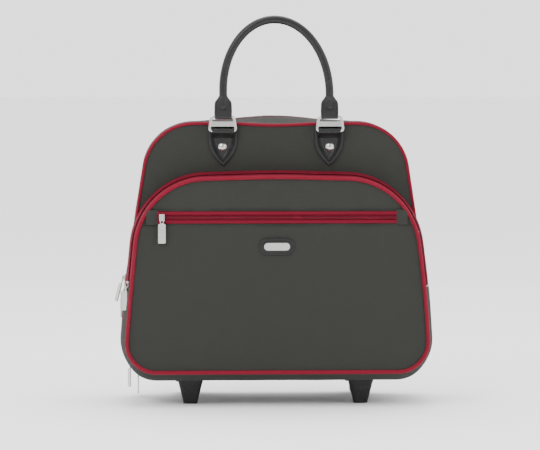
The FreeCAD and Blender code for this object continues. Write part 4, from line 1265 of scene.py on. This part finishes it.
class CASE_OT_pulls(bpy.types.Operator):
    """Builds the zipper pulls: a wire link and a flat rounded tag"""
    bl_idname = "case.pulls"
    bl_label = "Zipper pulls"

    def execute(self, context):
        turns = {"pocket_zip": 48.0, "main_zip_upper": 20.0, "main_zip_lower": 8.0, "laptop_zip_upper": 20.0}
        for joint in frame["record"]["behaviour"]["joints"]:
            if not joint["name"].endswith("_pull_swing"):
                continue
            label = joint["name"][:-len("_pull_swing")]
            pin, axis = Vector(joint["pos_m"]), Vector(joint["axis"]).normalized()
            up = Vector((0, 0, 1))
            out = up.cross(axis)
            hang = middle(f"{label}_pull") - pin
            tilt = math.atan2(hang.dot(out), -hang.z)
            place = Matrix((axis, out, up)).transposed().to_4x4()
            place.translation = pin
            place = place @ Matrix.Rotation(tilt, 4, "X")
            bm = self.pull(math.radians(turns.get(label, 0.0)))
            bmesh.ops.transform(bm, matrix=place, verts=bm.verts)
            bmesh.ops.recalc_face_normals(bm, faces=bm.faces)
            piece = new_piece(f"{label}_pull_tag", bm, material("Plated silver"))
            bevel_shade(piece)
            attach(piece, f"{label}_pull")
            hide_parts(f"{label}_pull")
        return {"FINISHED"}

    def pull(self, turn):
        """A pull about its pin, hanging down, its face towards Y and then turned."""
        s = sizes()
        half, long, drop = s.pull_width / 2, s.pull_length, 0.0085
        link = []
        for k in range(24):
            a = 2 * math.pi * k / 24
            link.append(Vector((0.0021 * math.cos(a), 0.0, -0.0048 + (0.0048 if math.sin(a) > 0 else 0.0042)
                                * math.copysign(abs(math.sin(a)) ** 0.8, math.sin(a)))))
        bm = tube(link, 0.0008, 8, closed=True, flat_axis=Vector((0, 1, 0)))
        link_verts = bm.verts[:]
        layers = ((-0.0008, 0.0004), (-0.0004, 0.0), (0.0004, 0.0), (0.0008, 0.0004), (0.0008, 0.0012),
                  (0.0005, 0.0015), (0.0005, 0.0030))
        low = -drop - long / 2
        add_skin(bm, [[Vector((dx, y, low + dz)) for dx, dz in
                       rounded(half - inset, long / 2 - inset, min((half - inset) * 0.98, 0.0022))]
                      for y, inset in layers])
        bmesh.ops.create_uvsphere(bm, u_segments=12, v_segments=6, radius=0.0012,
                                  matrix=Matrix.Translation((0, 0, -drop - 0.0022)))
        tag = [v for v in bm.verts if v not in link_verts]
        bmesh.ops.rotate(bm, cent=(0, 0, 0), matrix=Matrix.Rotation(turn, 3, "Z"), verts=tag)
        bmesh.ops.translate(bm, vec=(-0.0016 * math.sin(turn), 0.0040 * math.sin(turn), 0), verts=tag)
        return bm


# Feet, wheels and pull

class CASE_OT_feet(bpy.types.Operator):
    """Builds the moulded front feet"""
    bl_idname = "case.feet"
    bl_label = "Feet"

    def execute(self, context):
        low, high = (Vector(c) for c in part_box("front_feet"))
        half = (high.y - low.y) / 2
        y = (high.y + low.y) / 2
        bm = bmesh.new()
        for sign in (-1, 1):
            x = sign * (high.x - half)
            levels = [(low.z, 0.0085, 0.0040), (low.z, 0.0093, 0.0044), (low.z + 0.0008, 0.0100, 0.0046),
                      (low.z + 0.004, 0.0106, 0.0048), (high.z - 0.006, half - 0.0013, 0.0075),
                      (high.z - 0.0035, half - 0.0004, 0.0078), (high.z - 0.001, half, 0.0080),
                      (high.z, half - 0.0004, 0.0078)]
            add_skin(bm, [[Vector((x + dx, y + dy, z)) for dx, dy in rounded(size, size, corner)]
                          for z, size, corner in levels])
        bmesh.ops.recalc_face_normals(bm, faces=bm.faces)
        piece = new_piece("Moulded feet", bm, material("Moulded plastic"))
        bevel_shade(piece)
        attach(piece, "main_body")
        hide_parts("front_feet")
        return {"FINISHED"}


def bevel_shade(piece, angle=35.0):
    """Splits the shading at sharp edges."""
    limit = math.radians(angle)
    bm = bmesh.new()
    bm.from_mesh(piece.data)
    for e in bm.edges:
        if len(e.link_faces) == 2 and e.calc_face_angle(0.0) > limit:
            e.smooth = False
    bm.to_mesh(piece.data)
    bm.free()


def spun(profile, centre, steps=64):
    """A ring turned round the X axis through a centre, from (x offset, radius) corners."""
    bm = bmesh.new()
    verts = [bm.verts.new((centre.x + dx, centre.y, centre.z + r)) for dx, r in profile]
    edges = [bm.edges.new((a, b)) for a, b in zip(verts, verts[1:] + verts[:1])]
    bmesh.ops.spin(bm, geom=verts + edges, cent=centre, axis=(1, 0, 0), angle=2 * math.pi, steps=steps,
                   use_merge=True)
    bmesh.ops.remove_doubles(bm, verts=bm.verts, dist=1e-6)
    bmesh.ops.recalc_face_normals(bm, faces=bm.faces)
    return bm


class CASE_OT_wheels(bpy.types.Operator):
    """Builds the rubber tyres and spoked hubs"""
    bl_idname = "case.wheels"
    bl_label = "Wheels"

    def execute(self, context):
        for side in ("left", "right"):
            low, high = (Vector(c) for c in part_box(f"{side}_tyre"))
            centre = (low + high) / 2
            half, radius = (high.x - low.x) / 2, (high.z - low.z) / 2
            inner = radius - 0.0055
            profile = [(-half, inner), (-half, radius - 0.0032), (-half + 0.0009, radius - 0.0012),
                       (-half + 0.003, radius - 0.0002)]
            for groove in (-0.0045, 0.0, 0.0045):
                profile += [(groove - 0.0009, radius), (groove - 0.0006, radius - 0.0011),
                            (groove + 0.0006, radius - 0.0011), (groove + 0.0009, radius)]
            profile += [(half - 0.003, radius - 0.0002), (half - 0.0009, radius - 0.0012),
                        (half, radius - 0.0032), (half, inner)]
            name = f"{side.capitalize()} tyre rubber"
            tyre = new_piece(name, spun(profile, centre), material("Tyre rubber"))
            bevel_shade(tyre)
            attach(tyre, f"{side}_wheel")
            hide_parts(f"{side}_tyre")
            self.hub(side, centre, half - 0.0005, inner)
        return {"FINISHED"}

    def hub(self, side, centre, half, rim):
        """A rim and a boss joined by a web and spokes on both faces."""
        bore = 0.0110
        side_line = [(half, bore), (half - 0.0002, bore + 0.0022), (half - 0.0030, bore + 0.0028),
                     (half - 0.0030, rim - 0.0028), (half, rim - 0.0022), (half, rim)]
        profile = [(-dx, r) for dx, r in reversed(side_line)] + side_line
        bm = spun(profile, centre)
        for k in range(SPOKES):
            turn = Matrix.Rotation(2 * math.pi / SPOKES * k, 4, "X")
            for face in (-1, 1):
                place = (Matrix.Translation(centre + Vector((face * (half - 0.0021), 0, 0))) @ turn
                         @ Matrix.Translation((0, 0, (rim + bore) / 2)))
                add_block(bm, (0.0024, 0.0034, rim - bore - 0.0044), place, 0.0005)
        piece = new_piece(f"{side.capitalize()} hub spokes", bm, material("Hub plastic"))
        bevel_shade(piece)
        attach(piece, f"{side}_wheel")
        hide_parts(f"{side}_hub")


class CASE_OT_lining(bpy.types.Operator):
    """Builds the padded divider between the compartments"""
    bl_idname = "case.lining"
    bl_label = "Divider"

    def execute(self, context):
        low, high = (Vector(c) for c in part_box("laptop_divider"))
        outline = body_outline()
        rings = [outline.ring(low.y, 0.0)]
        for inset, lift in ((0.0, 0.0), (-0.004, 0.0008), (-0.012, 0.0), (-0.02, 0.0)):
            rings.append(outline.ring(high.y + lift, inset))
        centre = Vector((0, high.y, 0.2))
        inner = rings[-1]
        for k in range(1, 10):
            rings.append([centre + (p - centre) * (1 - k / 10) for p in inner])
        bm = loft(rings, cap_start=True, cap_end=True)
        bmesh.ops.recalc_face_normals(bm, faces=bm.faces)
        keep(bm, Vector((0, 0, high.z)), Vector((0, 0, 1)), fill=True)
        planar_uv(bm)
        piece = new_piece("Divider pad", bm, material("Lining cloth"))
        bevel_shade(piece)
        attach(piece, "main_body")
        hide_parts("laptop_divider")
        return {"FINISHED"}


# Stage

class CASE_OT_stage(bpy.types.Operator):
    """Sets the floor, the lights and the camera"""
    bl_idname = "case.stage"
    bl_label = "Stage"

    def execute(self, context):
        floor = self.floor()
        world = bpy.data.worlds.new("Studio")
        world.use_nodes = True
        self.sky(world.node_tree)
        bpy.context.scene.world = world
        self.area("Key", (-1.3, -1.9, 1.9), (0, 0, 0.2), 1.2, 40)
        self.area("Fill", (1.9, -1.7, 1.2), (0, 0, 0.2), 1.0, 16)
        self.area("Top", (0.0, 0.4, 2.6), (0, 0, 0.2), 1.6, 34)
        self.camera()
        return {"FINISHED"}

    def sky(self, tree):
        """Plain white light, brighter overhead and dimmer in front, so that metal shows its shape."""
        coords = tree.nodes.new("ShaderNodeTexCoord")
        split = tree.nodes.new("ShaderNodeSeparateXYZ")
        tree.links.new(coords.outputs["Generated"], split.inputs[0])
        front = self.fade(tree, split.outputs["Y"], (-0.9, 0.3), (0.5, 2.1))
        above = self.fade(tree, split.outputs["Z"], (0.05, 0.9), (0.0, 0.6))
        total = tree.nodes.new("ShaderNodeMath")
        total.operation = "ADD"
        tree.links.new(front, total.inputs[0])
        tree.links.new(above, total.inputs[1])
        tree.nodes["Background"].inputs["Color"].default_value = (1.0, 1.0, 1.0, 1.0)
        tree.links.new(total.outputs[0], tree.nodes["Background"].inputs["Strength"])

    def fade(self, tree, value, start, end):
        node = tree.nodes.new("ShaderNodeMapRange")
        node.interpolation_type = "SMOOTHSTEP"
        for label, number in zip(("From Min", "From Max", "To Min", "To Max"), start + end):
            node.inputs[label].default_value = number
        tree.links.new(value, node.inputs["Value"])
        return node.outputs[0]

    def floor(self):
        bm = bmesh.new()
        bmesh.ops.create_grid(bm, x_segments=1, y_segments=1, size=40.0)
        return new_piece("Studio_floor", bm, self.floor_material())

    def floor_material(self):
        paper, _, shader, _ = start_material("Pale floor", 0.0, 0.9)
        shader.inputs["Base Color"].default_value = (0.96, 0.96, 0.96, 1.0)
        return paper

    def area(self, name, at, aim, size, power):
        light = bpy.data.lights.new(name, "AREA")
        light.size, light.energy = size, power
        lamp = bpy.data.objects.new(name, light)
        lamp.location = at
        lamp.rotation_euler = (Vector(aim) - Vector(at)).to_track_quat("-Z", "Y").to_euler()
        bpy.context.scene.collection.objects.link(lamp)

    def camera(self):
        """A long lens a little above the case and a little to its left."""
        distance, azimuth, elevation = 4.0, math.radians(-2.2), math.radians(3.2)
        across = 0.7617
        aim = Vector((-0.0086, FRONT_OUT, 0.2545))
        back = Vector((math.sin(azimuth) * math.cos(elevation), -math.cos(azimuth) * math.cos(elevation),
                       math.sin(elevation)))
        data = bpy.data.cameras.new("View")
        data.sensor_width = 36.0
        data.lens = data.sensor_width * distance / across
        data.clip_end = 100
        camera = bpy.data.objects.new("View", data)
        camera.location = aim + back * distance
        camera.rotation_euler = (-back).to_track_quat("-Z", "Y").to_euler()
        bpy.context.scene.collection.objects.link(camera)
        bpy.context.scene.camera = camera


STEPS = [CASE_OT_materials, CASE_OT_body_panels, CASE_OT_body_walls, CASE_OT_piping, CASE_OT_zippers,
         CASE_OT_pocket, CASE_OT_leather, CASE_OT_pulls, CASE_OT_feet, CASE_OT_wheels, CASE_OT_lining,
         CASE_OT_stage]


class CASE_PT_panel(bpy.types.Panel):
    """Lists the case's sizes, colours and building steps"""
    bl_idname = "CASE_PT_panel"
    bl_label = "Rolling laptop case"
    bl_space_type = "VIEW_3D"
    bl_region_type = "UI"
    bl_category = "Case"

    def draw(self, context):
        for group_of in (context.scene.case_sizes, context.scene.case_colours):
            column = self.layout.column()
            for name in group_of.__annotations__:
                column.prop(group_of, name)
        for step in STEPS:
            self.layout.operator(step.bl_idname)


CLASSES = [CaseSizes, CaseColours, *STEPS, CASE_PT_panel]


def register():
    for cls in CLASSES:
        bpy.utils.register_class(cls)
    bpy.types.Scene.case_sizes = bpy.props.PointerProperty(type=CaseSizes)
    bpy.types.Scene.case_colours = bpy.props.PointerProperty(type=CaseColours)


def unregister():
    del bpy.types.Scene.case_sizes
    del bpy.types.Scene.case_colours
    for cls in reversed(CLASSES):
        bpy.utils.unregister_class(cls)


def main():
    register()
    for step in STEPS:
        getattr(bpy.ops.case, step.bl_idname.split(".")[1])()


if __name__ == "__main__":
    main()
